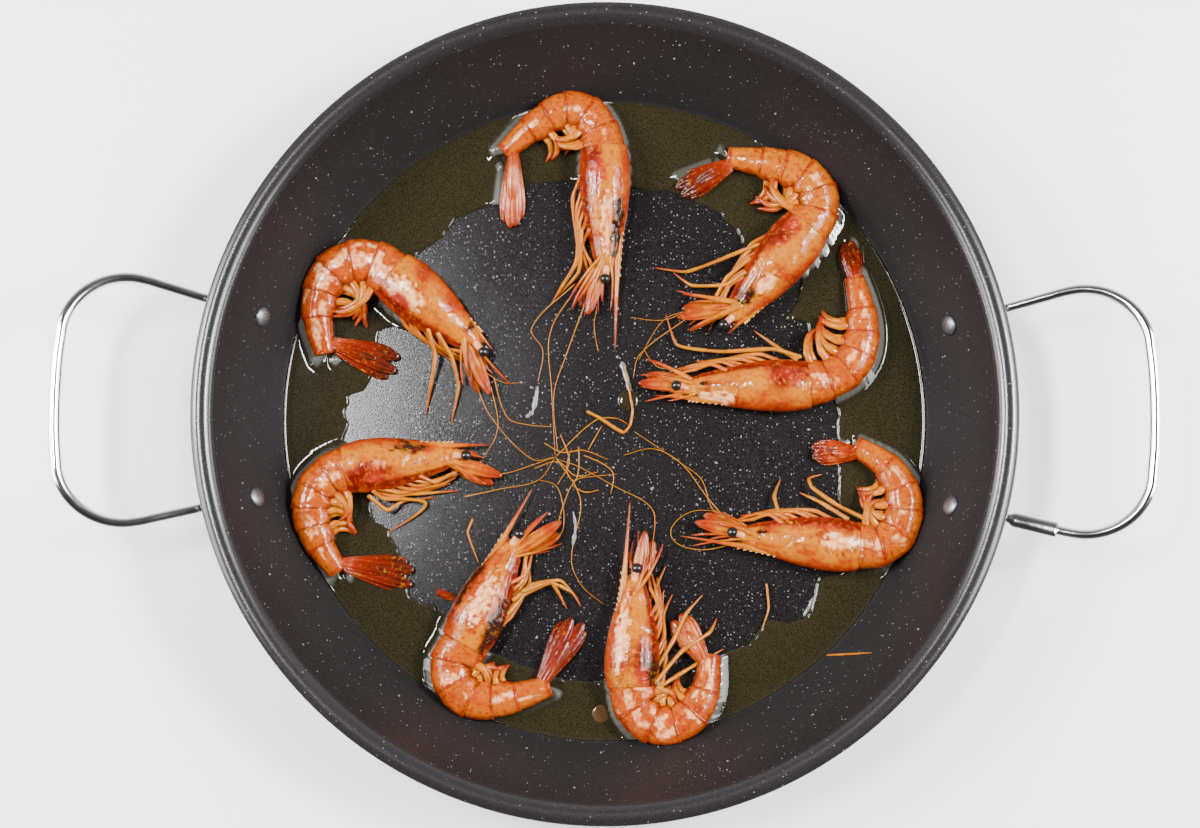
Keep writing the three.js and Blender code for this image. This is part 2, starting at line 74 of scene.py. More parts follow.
soft_light("window_left", (-1.06, 0.06, 0.88), 1.0, 0.5, 24)
soft_light("window_right", (0.96, 0.06, 0.98), 0.9, 0.5, 26)
soft_light("low_left", (-1.2, 0.02, 0.36), 0.9, 0.2, 9)
soft_light("low_right", (1.2, 0.02, 0.36), 0.9, 0.2, 8)
soft_light("pane_left", (-1.0, 0.2, 0.98), 0.3, 0.2, 15)
soft_light("pane_right", (0.86, 0.15, 1.12), 0.3, 0.22, 24)
soft_light("skylight", (-0.42, 0.12, 1.2), 0.3, 0.1, 13)


def add(tree, kind, inputs=(), **values):
    """A shader node. Inputs go by place, or by name with _ for a space; other names are settings."""
    node = tree.nodes.new("ShaderNode" + kind)
    for key, value in values.items():
        if key[0].islower():
            setattr(node, key, value)
    named = {key.replace("_", " "): value for key, value in values.items() if key[0].isupper()}
    for key, value in [*enumerate(inputs), *named.items()]:
        if isinstance(value, bpy.types.NodeSocket):
            tree.links.new(value, node.inputs[key])
        elif value is not None:
            node.inputs[key].default_value = value
    return node


def ranged(tree, value, low, high, at_low, at_high):
    """A value spread from one range over another, and held at its ends."""
    return add(tree, "MapRange", [value, low, high, at_low, at_high]).outputs["Result"]


room = bpy.data.worlds.new("room")
bpy.context.scene.world = room
room.use_nodes = True
tree = room.node_tree
heading = add(tree, "SeparateXYZ", [add(tree, "TexCoord").outputs["Generated"]])
by_height = add(tree, "ValToRGB", [heading.outputs["Z"]])
stops = by_height.color_ramp.elements
stops[1].position = 0.75
for stop, level in ((stops.new(0.35), 0.6), (stops[0], 0.9), (stops[-1], 0.1)):
    stop.color = (level, level, level * 1.04, 1)
to_window_wall = ranged(tree, heading.outputs["Y"], -0.6, 0.8, 0.25, 1.3)
backdrop = tree.nodes["Background"]
tree.links.new(by_height.outputs["Color"], backdrop.inputs["Color"])
tree.links.new(to_window_wall, backdrop.inputs["Strength"])


def finish_material(name, colour, roughness, metallic=0.0):
    """A new material, with its node tree and its principled shader."""
    made = bpy.data.materials.new(name)
    made.use_nodes = True
    shader = made.node_tree.nodes["Principled BSDF"]
    shader.inputs["Base Color"].default_value = (*colour, 1)
    shader.inputs["Roughness"].default_value = roughness
    shader.inputs["Metallic"].default_value = metallic
    return made, made.node_tree, shader


def piece(name, bm, materials):
    """Closes a bmesh into a piece of the object."""
    data = bpy.data.meshes.new(name)
    bm.to_mesh(data)
    bm.free()
    made = bpy.data.objects.new(name, data)
    bpy.context.collection.objects.link(made)
    for material in materials:
        data.materials.append(material)
    return made


table_paint, _, _ = finish_material("table_paint", (0.95, 0.94, 0.95), 0.6)
bm = bmesh.new()
bmesh.ops.create_grid(bm, x_segments=1, y_segments=1, size=6)
table = piece("table", bm, [table_paint])

# The pan: one pressed metal sheet with a wide, flat floor, a sloping wall and a lip that rolls
# outwards and down. It is spun from its section. Its dark, speckled non-stick coating is glossy on
# the floor, dull on the wall and glossy again on the lip. Some of its pale flecks are painted glints.
MM = 0.001
rim_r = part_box("pan")[1].x
lip_edge_z = 48 * MM
wall_slope, lip_droop = math.radians(62), math.radians(30)
sheet = 1.8 * MM
lip_bend, floor_bend = 7 * MM, 7 * MM
floor_edge_z, floor_rise = 2.8 * MM, 1.4 * MM
long_flat = 60 * MM  # a longer straight stretch of the section is divided


def turn_run(radius, turn):
    """How far from a corner a bend of that radius starts."""
    return radius * math.tan(turn / 2)


lip_turn = wall_slope + lip_droop
lip_corner = Vector((rim_r - turn_run(lip_bend, lip_turn) * math.cos(lip_droop),
                     lip_edge_z + turn_run(lip_bend, lip_turn) * math.sin(lip_droop)))


def wall_radius(z):
    """The wall's inner face, as if it ran straight to that height."""
    return lip_corner.x - (lip_corner.y - z) / math.tan(wall_slope)


floor_r = wall_radius(floor_edge_z) - turn_run(floor_bend, wall_slope)


def floor_z(r):
    """The height of the floor, which is slightly crowned, at a distance from the axis."""
    return floor_edge_z + floor_rise * (1 - np.minimum(1, r / floor_r) ** 2)


def close_skin(bm, seam=1e-6):
    """Closes the seams and poles of a bmesh and turns its faces outwards."""
    bmesh.ops.remove_doubles(bm, verts=bm.verts, dist=seam)
    bmesh.ops.recalc_face_normals(bm, faces=bm.faces)
    for face in bm.faces:
        face.smooth = True


def draw_section(outline):
    """A new bmesh with a chain of edges through points, each given by its radius and height."""
    bm = bmesh.new()
    points = [bm.verts.new((r, 0, z)) for r, z in outline]
    for pair in zip(points, points[1:]):
        bm.edges.new(pair)
    return bm, points


def spin_section(bm, steps):
    """Spins a section round the axis into a closed solid."""
    bmesh.ops.spin(bm, geom=bm.verts[:] + bm.edges[:], cent=(0, 0, 0), axis=(0, 0, 1),
                   angle=2 * math.pi, steps=steps, use_merge=True)
    close_skin(bm)


wall_shift = sheet / math.sin(wall_slope)
under_lip = Vector((rim_r - sheet * math.sin(lip_droop), lip_edge_z - sheet * math.cos(lip_droop)))
under_run = turn_run(lip_bend - sheet, lip_turn)
section = [  # radius, height and the bend's run, from the middle of the underside to the floor
    (0, 0, 0),
    (wall_radius(0) + wall_shift, 0, turn_run(floor_bend + sheet, wall_slope)),
    (under_lip.x - under_run * math.cos(lip_droop), under_lip.y + under_run * math.sin(lip_droop),
     under_run - sheet * 0.5),
    (under_lip.x, under_lip.y, sheet * 0.42),
    (rim_r, lip_edge_z, sheet * 0.42),
    (lip_corner.x, lip_corner.y, turn_run(lip_bend, lip_turn) - sheet * 0.5),
    (wall_radius(floor_edge_z), floor_edge_z, turn_run(floor_bend, wall_slope)),
    (0, floor_edge_z, 0),
]
bm, points = draw_section([(r, z) for r, z, _ in section])
for point, (_, _, run) in zip(points, section):
    if run:
        bmesh.ops.bevel(bm, geom=[point], affect="VERTICES", offset=run, offset_type="OFFSET",
                        segments=9 if run > sheet else 3, profile=0.5, material=-1)
flats = [edge for edge in bm.edges if edge.calc_length() > long_flat]
bmesh.ops.subdivide_edges(bm, edges=flats, cuts=14)
for vert in bm.verts:
    if abs(vert.co.z - floor_edge_z) < 1e-6 and vert.co.x < floor_r + 1e-5:
        vert.co.z = floor_z(vert.co.x)
spin_section(bm, 240)


def noise_map(tree, coords, scale, detail, roughness=0.5):
    """A soft random pattern, from 0 to 1."""
    made = add(tree, "TexNoise", Vector=coords, Scale=scale, Detail=detail, Roughness=roughness)
    return made.outputs["Fac"]


def colour_mix(tree, share, low, high):
    """A colour between two others."""
    return add(tree, "MixRGB", [share, low, high]).outputs[0]


coating, tree, shader = finish_material("coating", (0.02, 0.02, 0.022), 0.3)
coords = add(tree, "TexCoord").outputs["Object"]
flat_coords = add(tree, "VectorMath", [coords, (1, 1, 0)], operation="MULTIPLY").outputs[0]
from_axis = add(tree, "VectorMath", [flat_coords], operation="LENGTH").outputs["Value"]
wall_share = ranged(tree, from_axis, 0.124, 0.134, 0.0, 1.0)
lip_share = ranged(tree, from_axis, 0.152, 0.162, 0.0, 1.0)

grain = ranged(tree, noise_map(tree, coords, 1700.0, 2.0), 0.36, 0.66, 0.0, 1.0)
calmer = add(tree, "Math", [wall_share, 0.7], operation="MULTIPLY").outputs[0]
grain_seen = add(tree, "Mix", [calmer, None, grain, 0.5]).outputs[0]
# Pale flecks: partly the coating's own speckle, partly painted glints of tiny oil drops.
fleck = add(tree, "TexVoronoi", Vector=coords, Scale=780.0)
fleck_size = ranged(tree, fleck.outputs["Distance"], 0.1, 0.26, 1.0, 0.0)
fleck_limit = ranged(tree, from_axis, 0.122, 0.136, 0.55, 0.9)
fleck_draw = add(tree, "SeparateColor", [fleck.outputs["Color"]]).outputs["Red"]
fleck_here = ranged(tree, fleck_draw, fleck_limit, 1.0, 0.0, 1.0)
flecks_and_glints = add(tree, "Math", [fleck_size, fleck_here], operation="MULTIPLY").outputs[0]
dark_grain, floor_grain = (0.0007, 0.0006, 0.0006, 1), (0.0135, 0.011, 0.011, 1)
wall_grain, fleck_and_glint_colour = (0.026, 0.0222, 0.0225, 1), (0.26, 0.25, 0.25, 1)
base = colour_mix(tree, grain_seen, dark_grain, colour_mix(tree, wall_share, floor_grain, wall_grain))
base = colour_mix(tree, flecks_and_glints, base, fleck_and_glint_colour)
tree.links.new(base, shader.inputs["Base Color"])

rough = ranged(tree, noise_map(tree, coords, 22.0, 4.0), 0.3, 0.7, 0.17, 0.21)
rough = add(tree, "Mix", [wall_share, None, rough, 0.5]).outputs[0]
rough = add(tree, "Mix", [lip_share, None, rough, 0.22]).outputs[0]
tree.links.new(rough, shader.inputs["Roughness"])
shader.inputs["Specular IOR Level"].default_value = 0.38
bump = add(tree, "Bump", Strength=0.1, Distance=0.0002, Height=grain_seen).outputs["Normal"]
tree.links.new(bump, shader.inputs["Normal"])

wall_coating, lip_coating = coating.copy(), coating.copy()
for made, name, level in ((wall_coating, "wall_coating", 0.16), (lip_coating, "lip_coating", 0.55)):
    made.name = name
    made.node_tree.nodes["Principled BSDF"].inputs["Specular IOR Level"].default_value = level
coating_changes = (136 * MM, 157 * MM)  # radii where the wall's and the lip's finish start
for face in bm.faces:
    face.material_index = bisect.bisect(coating_changes, face.calc_center_median().xy.length)

pan = piece("pan_body", bm, [coating, wall_coating, lip_coating])
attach(pan, "root")
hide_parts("pan")

# The rivets: four soft-metal pins through the wall, with a low dome on the inside and a flat
# upset head on the outside that holds the handle's tab.
rivet_angle, rivet_z = math.radians(14.7), 26 * MM
head_r, head_h, tail_r, tail_h, shank_r = 4.5 * MM, 1.9 * MM, 4.0 * MM, 1.4 * MM, 2.4 * MM
tab_thick, tab_gap = 2.5 * MM, 0.3 * MM
tab_back = sheet + tab_gap + tab_thick


def on_wall(side, end):
    """The frame of one rivet: +Z out through the wall and +Y up its slope."""
    out_from_axis = Vector((side * math.cos(rivet_angle), end * math.sin(rivet_angle), 0))
    up_wall = out_from_axis * math.cos(wall_slope) + Vector((0, 0, math.sin(wall_slope)))
    through = out_from_axis * math.sin(wall_slope) - Vector((0, 0, math.cos(wall_slope)))
    made = Matrix((up_wall.cross(through), up_wall, through)).transposed().to_4x4()
    made.translation = out_from_axis * wall_radius(rivet_z) + Vector((0, 0, rivet_z))
    return made


rivet_metal, tree, shader = finish_material("rivet_metal", (0.2, 0.2, 0.21), 0.38, 0.9)
coords = add(tree, "TexCoord").outputs["Object"]
wear = ranged(tree, noise_map(tree, coords, 900.0, 3.0), 0.3, 0.7, 0.3, 0.5)
tree.links.new(wear, shader.inputs["Roughness"])
rivet_section = [(0, -head_h), (head_r * 0.55, -head_h * 0.93), (head_r * 0.88, -head_h * 0.5),
                 (head_r, 0), (shank_r, 0), (shank_r, tab_back), (tail_r, tab_back),
                 (tail_r * 0.9, tab_back + tail_h), (0, tab_back + tail_h)]
for number, (side, end) in enumerate([(-1, 1), (-1, -1), (1, 1), (1, -1)], 1):
    bm, _ = draw_section(rivet_section)
    spin_section(bm, 32)
    bmesh.ops.transform(bm, matrix=on_wall(side, end), verts=bm.verts)
    rivet = piece(f"rivet_pin_{number}", bm, [rivet_metal])
    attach(rivet, "root")
    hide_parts(f"rivet_{number}")

# The handles: one length of round wire each, bent into an open loop. Its ends are pressed into
# flat tabs that lie on the wall, and all of it is chromed.
wire_r = 2.5 * MM
handle_reach, handle_corner = 222 * MM, 26 * MM
handle_slope = math.radians(17)
grip_bow = 1.2 * MM
tab_half = 5.4 * MM
tab_top, tab_foot = 12 * MM, 5.5 * MM  # how far a tab runs up and down the wall from its rivet
flat_spot = (174 * MM, 192 * MM)  # pressed stretch of the right handle's near arm
wire_steps = 10  # points to each span of the wire


def smooth_line(knots, steps=8, ease=1 / 3):
    """A curve through knots, each span a bezier whose handles follow its neighbours."""
    line = []
    for i in range(len(knots) - 1):
        before, start, end, after = (knots[max(i - 1, 0)], knots[i], knots[i + 1],
                                     knots[min(i + 2, len(knots) - 1)])
        reach = (end - start).length * ease
        lead = start + (end - before).normalized() * reach
        tail = end - (after - start).normalized() * reach
        line += geometry.interpolate_bezier(start, lead, tail, end, steps + 1)[:-1]
    return [*line, knots[-1].copy()]


def skin(bm, rings, sides, place, tint=None):
    """A closed skin: a flat grid rolled up, where place(along, around) puts each of its points."""
    verts = bmesh.ops.create_grid(bm, x_segments=sides, y_segments=rings, size=0.5)["verts"]
    faces = {face for vert in verts for face in vert.link_faces}
    uv = bm.loops.layers.uv.verify()
    colour = bm.verts.layers.float_color.get("tint")
    for face in faces:
        face.smooth = True
        for loop in face.loops:
            loop[uv].uv = (loop.vert.co.x + 0.5, loop.vert.co.y + 0.5)
    for vert in verts:
        along, around = vert.co.y + 0.5, vert.co.x + 0.5
        vert.co = place(along, around)
        if colour:
            vert[colour] = (*tint(along, around), 1)
    bmesh.ops.remove_doubles(bm, verts=verts, dist=1e-6)
    kept = [face for face in faces if face.is_valid]
    bmesh.ops.recalc_face_normals(bm, faces=kept)
    return kept


def dome(share):
    """The height of a quarter circle: 0 at 0, and 1 from 1 on."""
    return math.sqrt(max(0.0, 1 - (1 - min(share, 1)) ** 2))


def sweep(line, shape, closed_by=0.04):
    """Where a tube along a line puts its points. shape(along) gives half its width and height."""
    last = len(line) - 1

    @functools.cache
    def ring(along):
        spot = min(along, 1) * last
        i = min(int(spot), last - 1)
        ahead = (line[min(i + 2, last)] - line[max(i - 1, 0)]).normalized()
        across = Vector((0, 0, 1)).cross(ahead).normalized()
        width, height = shape(along)
        close = dome(min(along, 1 - along) / closed_by)
        centre = line[i].lerp(line[i + 1], spot - i)
        return centre, across * width * close, ahead.cross(across) * height * close

    def place(along, around):
        centre, across, up = ring(along)
        angle = around * 2 * math.pi
        return centre + across * math.cos(angle) + up * math.sin(angle)
    return place


def handle_line(side, end):
    """Half of a handle's wire, from the middle of its grip in to the tab."""
    frame_here = on_wall(side, end)
    turn = math.pi / 2 + rivet_angle
    grip_end = handle_reach * math.tan(rivet_angle) - turn_run(handle_corner, turn)
    plan = [(handle_reach + grip_bow, 0), (handle_reach + grip_bow * 0.7, grip_end * 0.6)]
    plan += [(handle_reach - handle_corner * (1 - math.cos(turn * i / 7)),
              grip_end + handle_corner * math.sin(turn * i / 7)) for i in range(8)]
    bend = frame_here @ Vector((0, tab_top, tab_back + 1 * MM))
    inner = bend.xy.length + 6 * MM
    plan += [(r * math.cos(rivet_angle), r * math.sin(rivet_angle))
             for r in (190 * MM, 180 * MM, inner)]
    rise = math.tan(handle_slope) / math.cos(rivet_angle)
    knots = [Vector((side * x, end * y, bend.z + (x - abs(bend.x)) * rise)) for x, y in plan]
    tab_middle = sheet + tab_gap + tab_thick / 2
    knots += [bend, frame_here @ Vector((0, tab_top / 2, tab_middle + 0.6 * MM)),
              frame_here @ Vector((0, 0, tab_middle)), frame_here @ Vector((0, -tab_foot, tab_middle))]
    return knots


chrome, tree, shader = finish_material("chrome", (0.86, 0.86, 0.87), 0.09, 1.0)
coords = add(tree, "TexCoord").outputs["Object"]
smear = ranged(tree, noise_map(tree, coords, 120.0, 4.0), 0.3, 0.7, 0.06, 0.16)
tree.links.new(smear, shader.inputs["Roughness"])
for side, name in ((-1, "left"), (1, "right")):
    arms = [handle_line(side, end) for end in (1, -1)]
    line = smooth_line([*arms[0][::-1], *arms[1][1:]], wire_steps)

    def wire_shape(along):
        spot = line[min(int(along * (len(line) - 1)), len(line) - 1)]
        if side > 0 and spot.y < 0 and flat_spot[0] < spot.xy.length < flat_spot[1]:
            return wire_r * 1.35, wire_r * 0.62
        from_end = min(along, 1 - along) * (len(line) - 1) / wire_steps
        tab = max(0.0, min(1.0, (3.2 - from_end) / 1.6))
        tab = tab * tab * (3 - 2 * tab)
        return wire_r + (tab_half - wire_r) * tab, wire_r + (tab_thick / 2 - wire_r) * tab
    bm = bmesh.new()
    skin(bm, 400, 20, sweep(line, wire_shape, 0.012))
    handle = piece(f"handle_wire_{name}", bm, [chrome])
    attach(handle, "root")
    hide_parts(f"handle_{name}")

# The shrimps: whole ones in the shell, fried on their sides. Each is a long shell over the head,
# six overlapping rings, a fan of five blades, and many jointed legs on its inner side.
# Each row gives one as seen from above, in millimetres and degrees: its neck's place, its head's
# compass, its lengths, its bend at each ring and at the fan, its finish, and where its longest legs
# and feelers lie. A patch on its shell is a place along and across, with half its two widths.
# The pale patch of each shell and the pale share of its rings are partly pale flesh and partly painted
# highlight, laid on the top of each lying body.
shrimps = [
    dict(neck=(-2, 116), head=272, shell=47, rings=60, fan=33, splay=0.28, spike=42,
         bends=(12, 24, 40, 38, 9, 7, 48), stout=0.95, scales=16, swim=11, tail="pale", pale_and_highlight_share=0.5,
         blush=(0.78, 0.4, 0.26, 0.5), burns=[(0.22, -0.6, 0.34, 0.36)], pale=(0.27, -0.15, 0.26, 0.34),
         legs=[[(-12, 84), (-13, 66), (-19, 56), (-24, 48)], [(-11, 80), (-12, 62), (-21, 52)]],
         feelers=[[(-12, 56), (-24, 36), (-23, 11), (-21, -18)],
                  [(-9, 48), (-17, 26), (-22, 9), (-20, -16)],
                  [(-13, 57), (-32, 38), (-27, 28), (-29, 14)], [(-4, 46), (-5, 39), (-3, 27)]]),
    dict(neck=(86, 82), head=231, shell=45, rings=61, fan=27, splay=0.6, spike=12,
         bends=(7, 35, 35, 31, 9, 3, 37), stout=1.03, scales=40, swim=15, tail="dark", pale_and_highlight_share=0.15,
         blush=(0.82, 0.5, 0.2, 0.45), burns=[(0.1, 0.1, 0.12, 0.5)], pale=(0.3, -0.2, 0.1, 0.3),
         legs=[[(66, 74), (59, 72), (35, 63), (21, 65)], [(60, 62), (52, 57), (37, 57), (29, 63)],
               [(62, 68), (52, 60), (44, 46), (36, 40)]],
         feelers=[[(36, 46), (25, 42), (10, 43)], [(37, 46), (25, 42), (14, 24)],
                  [(36, 43), (15, 27), (12, 16)]]),
    dict(neck=(87, 14), head=182, shell=46, rings=61, fan=18, splay=0.4, spike=20,
         bends=(13, 15, 26, 22, 15, 9, -2), stout=0.96, scales=3, swim=14, tail="dark", pale_and_highlight_share=0.6,
         blush=(0.8, 0.3, 0.22, 0.5), burns=[(0.02, 0.2, 0.06, 0.2)], pale=(0.12, -0.7, 0.2, 0.35),
         legs=[[(84, 25), (72, 29), (50, 28), (31, 31), (26, 45)], [(82, 24), (76, 29), (64, 38)]],
         feelers=[[(30, 20), (22, 22), (16, 30)]]),
    dict(neck=(108, -55), head=175, shell=43, rings=66, fan=20, splay=0.5, spike=33,
         bends=(8, 36, 34, 28, 24, 22, 33), stout=0.98, scales=5, swim=12, tail="striped", pale_and_highlight_share=0.45,
         blush=(0.66, 0.75, 0.4, 0.25), burns=[(0.04, 0.3, 0.06, 0.2)], pale=(0.8, 0.1, 0.14, 0.34),
         legs=[[(80, -46), (76, -44), (73, -34), (76, -26)],
               [(112, -44), (100, -38), (89, -30), (88, -26), (94, -24)],
               [(104, -44), (92, -36), (84, -32)]],
         feelers=[[(56, -46), (47, -40), (42, -27), (33, -20), (12, -6)],
                  [(52, -44), (44, -34), (33, -20), (21, -14), (8, -17)],
                  [(61, -53), (41, -57), (29, -51), (37, -41), (53, -41)]]),
    dict(neck=(13, -115), head=89, shell=39, rings=63, fan=22, splay=0.55, spike=40,
         bends=(12, 38, 40, 35, 29, 19, 40), stout=1.0, scales=6, swim=9, tail="pale", pale_and_highlight_share=0.8,
         blush=(0.74, 0.4, 0.32, 0.42), burns=[(0.8, 0.75, 0.2, 0.2)], pale=(0.42, -0.5, 0.4, 0.26),
         legs=[[(23, -116), (36, -108), (52, -99)], [(25, -117), (27, -103), (26, -85), (30, -76)],
               [(20, -112), (30, -96), (36, -84), (43, -76)], [(18, -108), (22, -92), (24, -74)],
               [(22, -114), (34, -100), (46, -92), (49, -86)], [(16, -100), (20, -80), (27, -64)]],
         feelers=[[(20, -62), (22, -43), (18, -37), (6, -31), (-11, -22), (-20, -19)]]),
    dict(neck=(-58, -98), head=65, shell=41, rings=62, fan=31, splay=0.55, spike=31,
         bends=(-10, 44, 38, 38, 16, 7, 42), stout=1.01, scales=30, swim=10, tail="red", pale_and_highlight_share=0.55,
         blush=(0.55, 0.9, 0.5, 0.4), burns=[(0.4, -1.0, 0.5, 0.3), (0.72, 0.72, 0.36, 0.3)],
         pale=(0.5, -0.1, 0.26, 0.34),
         legs=[[(-38, -80), (-30, -73), (-18, -71), (-10, -79)], [(-34, -76), (-22, -72), (-15, -83)],
               [(-40, -86), (-33, -77), (-22, -72), (-13, -76), (-9, -82)]],
         feelers=[[(-20, -54), (-17, -48), (-18, -36), (-21, -30), (-28, -28)],
                  [(-20, -50), (-17, -38), (-12, -28), (-3, -26), (6, -25)],
                  [(-21, -18), (-10, -36), (-13, -56), (-13, -65), (-8, -74), (1, -81)]]),
    dict(neck=(-110, -25), head=8, shell=41, rings=54, fan=32, splay=0.55, spike=21,
         bends=(14, 26, 28, 24, 14, 11, 46), stout=0.99, scales=22, swim=12, tail="dark", pale_and_highlight_share=0.6,
         blush=(0.78, 0.4, 0.26, 0.55), burns=[(0.3, -0.6, 0.2, 0.26)], pale=(0.66, 0.1, 0.1, 0.2),
         legs=[[(-98, -34), (-94, -37), (-76, -39), (-93, -52)], [(-96, -33), (-84, -35), (-62, -33)],
               [(-100, -36), (-92, -42), (-86, -38), (-72, -36)]],
         feelers=[[(-52, -27), (-41, -25), (-32, -22), (-21, -18)],
                  [(-60, -36), (-44, -32), (-28, -28), (-21, -18)]]),
    dict(neck=(-92, 59), head=321, shell=41, rings=66, fan=31, splay=0.6, spike=13,
         bends=(5, 32, 31, 35, 21, 17, 60), stout=1.07, scales=26, swim=17, tail="dark", pale_and_highlight_share=1.0,
         blush=(0.74, 0.62, 0.14, 0.3), burns=[(0.0, -0.6, 0.06, 0.3)], pale=(0.74, 0.25, 0.2, 0.36),
         legs=[[(-76, 36), (-73, 24), (-75, 12), (-77, 0)], [(-72, 34), (-66, 24), (-63, 12), (-66, -4)]],
         feelers=[[(-56, 14), (-49, -1), (-31, -19), (-21, -18)],
                  [(-48, 16), (-42, -1), (-34, -4), (-22, -5)],
                  [(-49, 12), (-46, -6), (-53, -21)], [(-52, 18), (-44, 14), (-36, 14)]]),
]
ring_shares = (0.15, 0.15, 0.15, 0.15, 0.17, 0.23)
half_depths = [(0, 3.0), (0.5, 4.4), (1, 6.0), (1.5, 8.6), (2, 10.6), (2.6, 11.3),
               (3, 10.3), (4, 9), (5, 8.7), (6, 8.2), (7, 7.4), (8, 6.2), (9, 4.2)]
thick = 0.76  # height of a body on its side, over its depth
rest_z = 4.4 * MM  # height of the lying side
fan_place, spine_steps = 9, 12
yellow = Vector((0.40, 0.115, 0.001))
orange = Vector((0.29, 0.027, 0.0005))
red = Vector((0.08, 0.003, 0.0008))
salmon = Vector((0.36, 0.055, 0.001))
cream = Vector((0.86, 0.44, 0.20))
umber = Vector((0.008, 0.003, 0.0013))
pink = Vector((0.54, 0.125, 0.035))
straw = Vector((0.35, 0.125, 0.0005))
ember = Vector((0.14, 0.008, 0.0004))
rose = Vector((0.27, 0.016, 0.006))


def bearing(angle):
    """A level unit vector, turned from +X."""
    return Vector((math.cos(angle), math.sin(angle), 0))


def over_floor(x, y, high=0.0):
    """A point above the pan's floor, all given in millimetres."""
    return Vector((x * MM, y * MM, floor_z(math.hypot(x, y) * MM) + high * MM))


def between(table, at):
    """The value of a table of (place, value) at a place, on a smooth curve through its rows."""
    places = [row[0] for row in table]
    i = max(0, min(len(table) - 2, bisect.bisect_left(places, at) - 1))
    (a, low), (b, high) = table[i], table[i + 1]
    share = max(0.0, min(1.0, (at - a) / (b - a)))
    before = table[max(i - 1, 0)]
    after = table[min(i + 2, len(table) - 1)]
    lead = (high - before[1]) / max(b - before[0], 1e-9) * (b - a)
    tail = (after[1] - low) / max(after[0] - a, 1e-9) * (b - a)
    s2, s3 = share * share, share ** 3
    return ((2 * s3 - 3 * s2 + 1) * low + (s3 - 2 * s2 + share) * lead
            + (3 * s2 - 2 * s3) * high + (s3 - s2) * tail)


def mixed(a, b, share):
    return a.lerp(b, max(0.0, min(1.0, share)))


def hump(x, middle, width):
    """A soft bump of height 1 around a middle."""
    return math.exp(-((x - middle) / width) ** 2)


class Spine:
    """The middle line of a shrimp from its eyes to its fan: place 1 is the front of the shell, 3 its
    neck and 9 the root of the fan. Its belly is on the left, seen from the head."""

    def __init__(self, neck, head, shell, rings, bends, stout, **others):
        ahead = bearing(math.radians(head))
        start = Vector((*neck, 0))
        self.knots = [start + ahead * reach for reach in (shell + 8, shell, shell / 2, 0)]
        angle = math.radians(head) + math.pi
        for share, bend in zip(ring_shares, bends):
            angle += math.radians(bend)
            self.knots.append(self.knots[-1] + bearing(angle) * rings * share)
        self.fan_angle = angle + math.radians(bends[-1])
        self.knots = [knot * MM for knot in self.knots]
        self.line = smooth_line(self.knots, spine_steps)
        self.stout = stout

    @functools.cache
    def at(self, place):
        within = max(0.0, min(place, fan_place))
        spot = within * spine_steps
        i = min(int(spot), len(self.line) - 2)
        ahead = (self.line[min(i + 2, len(self.line) - 1)] - self.line[max(i - 1, 0)]).normalized()
        point = self.line[i].lerp(self.line[i + 1], spot - i) + ahead * (place - within) * 8 * MM
        return point, ahead, Vector((-ahead.y, ahead.x, 0))

    @functools.cache
    def half(self, place):
        return between(half_depths, place) * self.stout * MM

    def middle(self, place):
        return rest_z + 0.92 * thick * max(self.half(place), 7.4 * MM if place < 2 else 0)

    def spot(self, place, out, up=0.0):
        """A point beside the line, out towards the belly and up from the body's middle."""
        point, _, belly = self.at(place)
        return point + belly * out + Vector((0, 0, self.middle(place) + up))

    def skin_point(self, place, half, depth, rise):
        """A point of a skin round the body, which is half as deep there as given."""
        point, _, belly = self.at(place)
        return point + belly * (half * depth) + Vector((0, 0, self.middle(place) + half * thick * rise))


def patch(spot, region):
    """1.1 in the middle of an oval region (along, depth, half length, half depth) and less outwards."""
    return 1.1 - math.hypot((spot[0] - region[0]) / region[2], (spot[1] - region[1]) / region[3])


shell_front, shell_run = 0.1, 3.02  # the shell's first place on the spine, and how many it covers


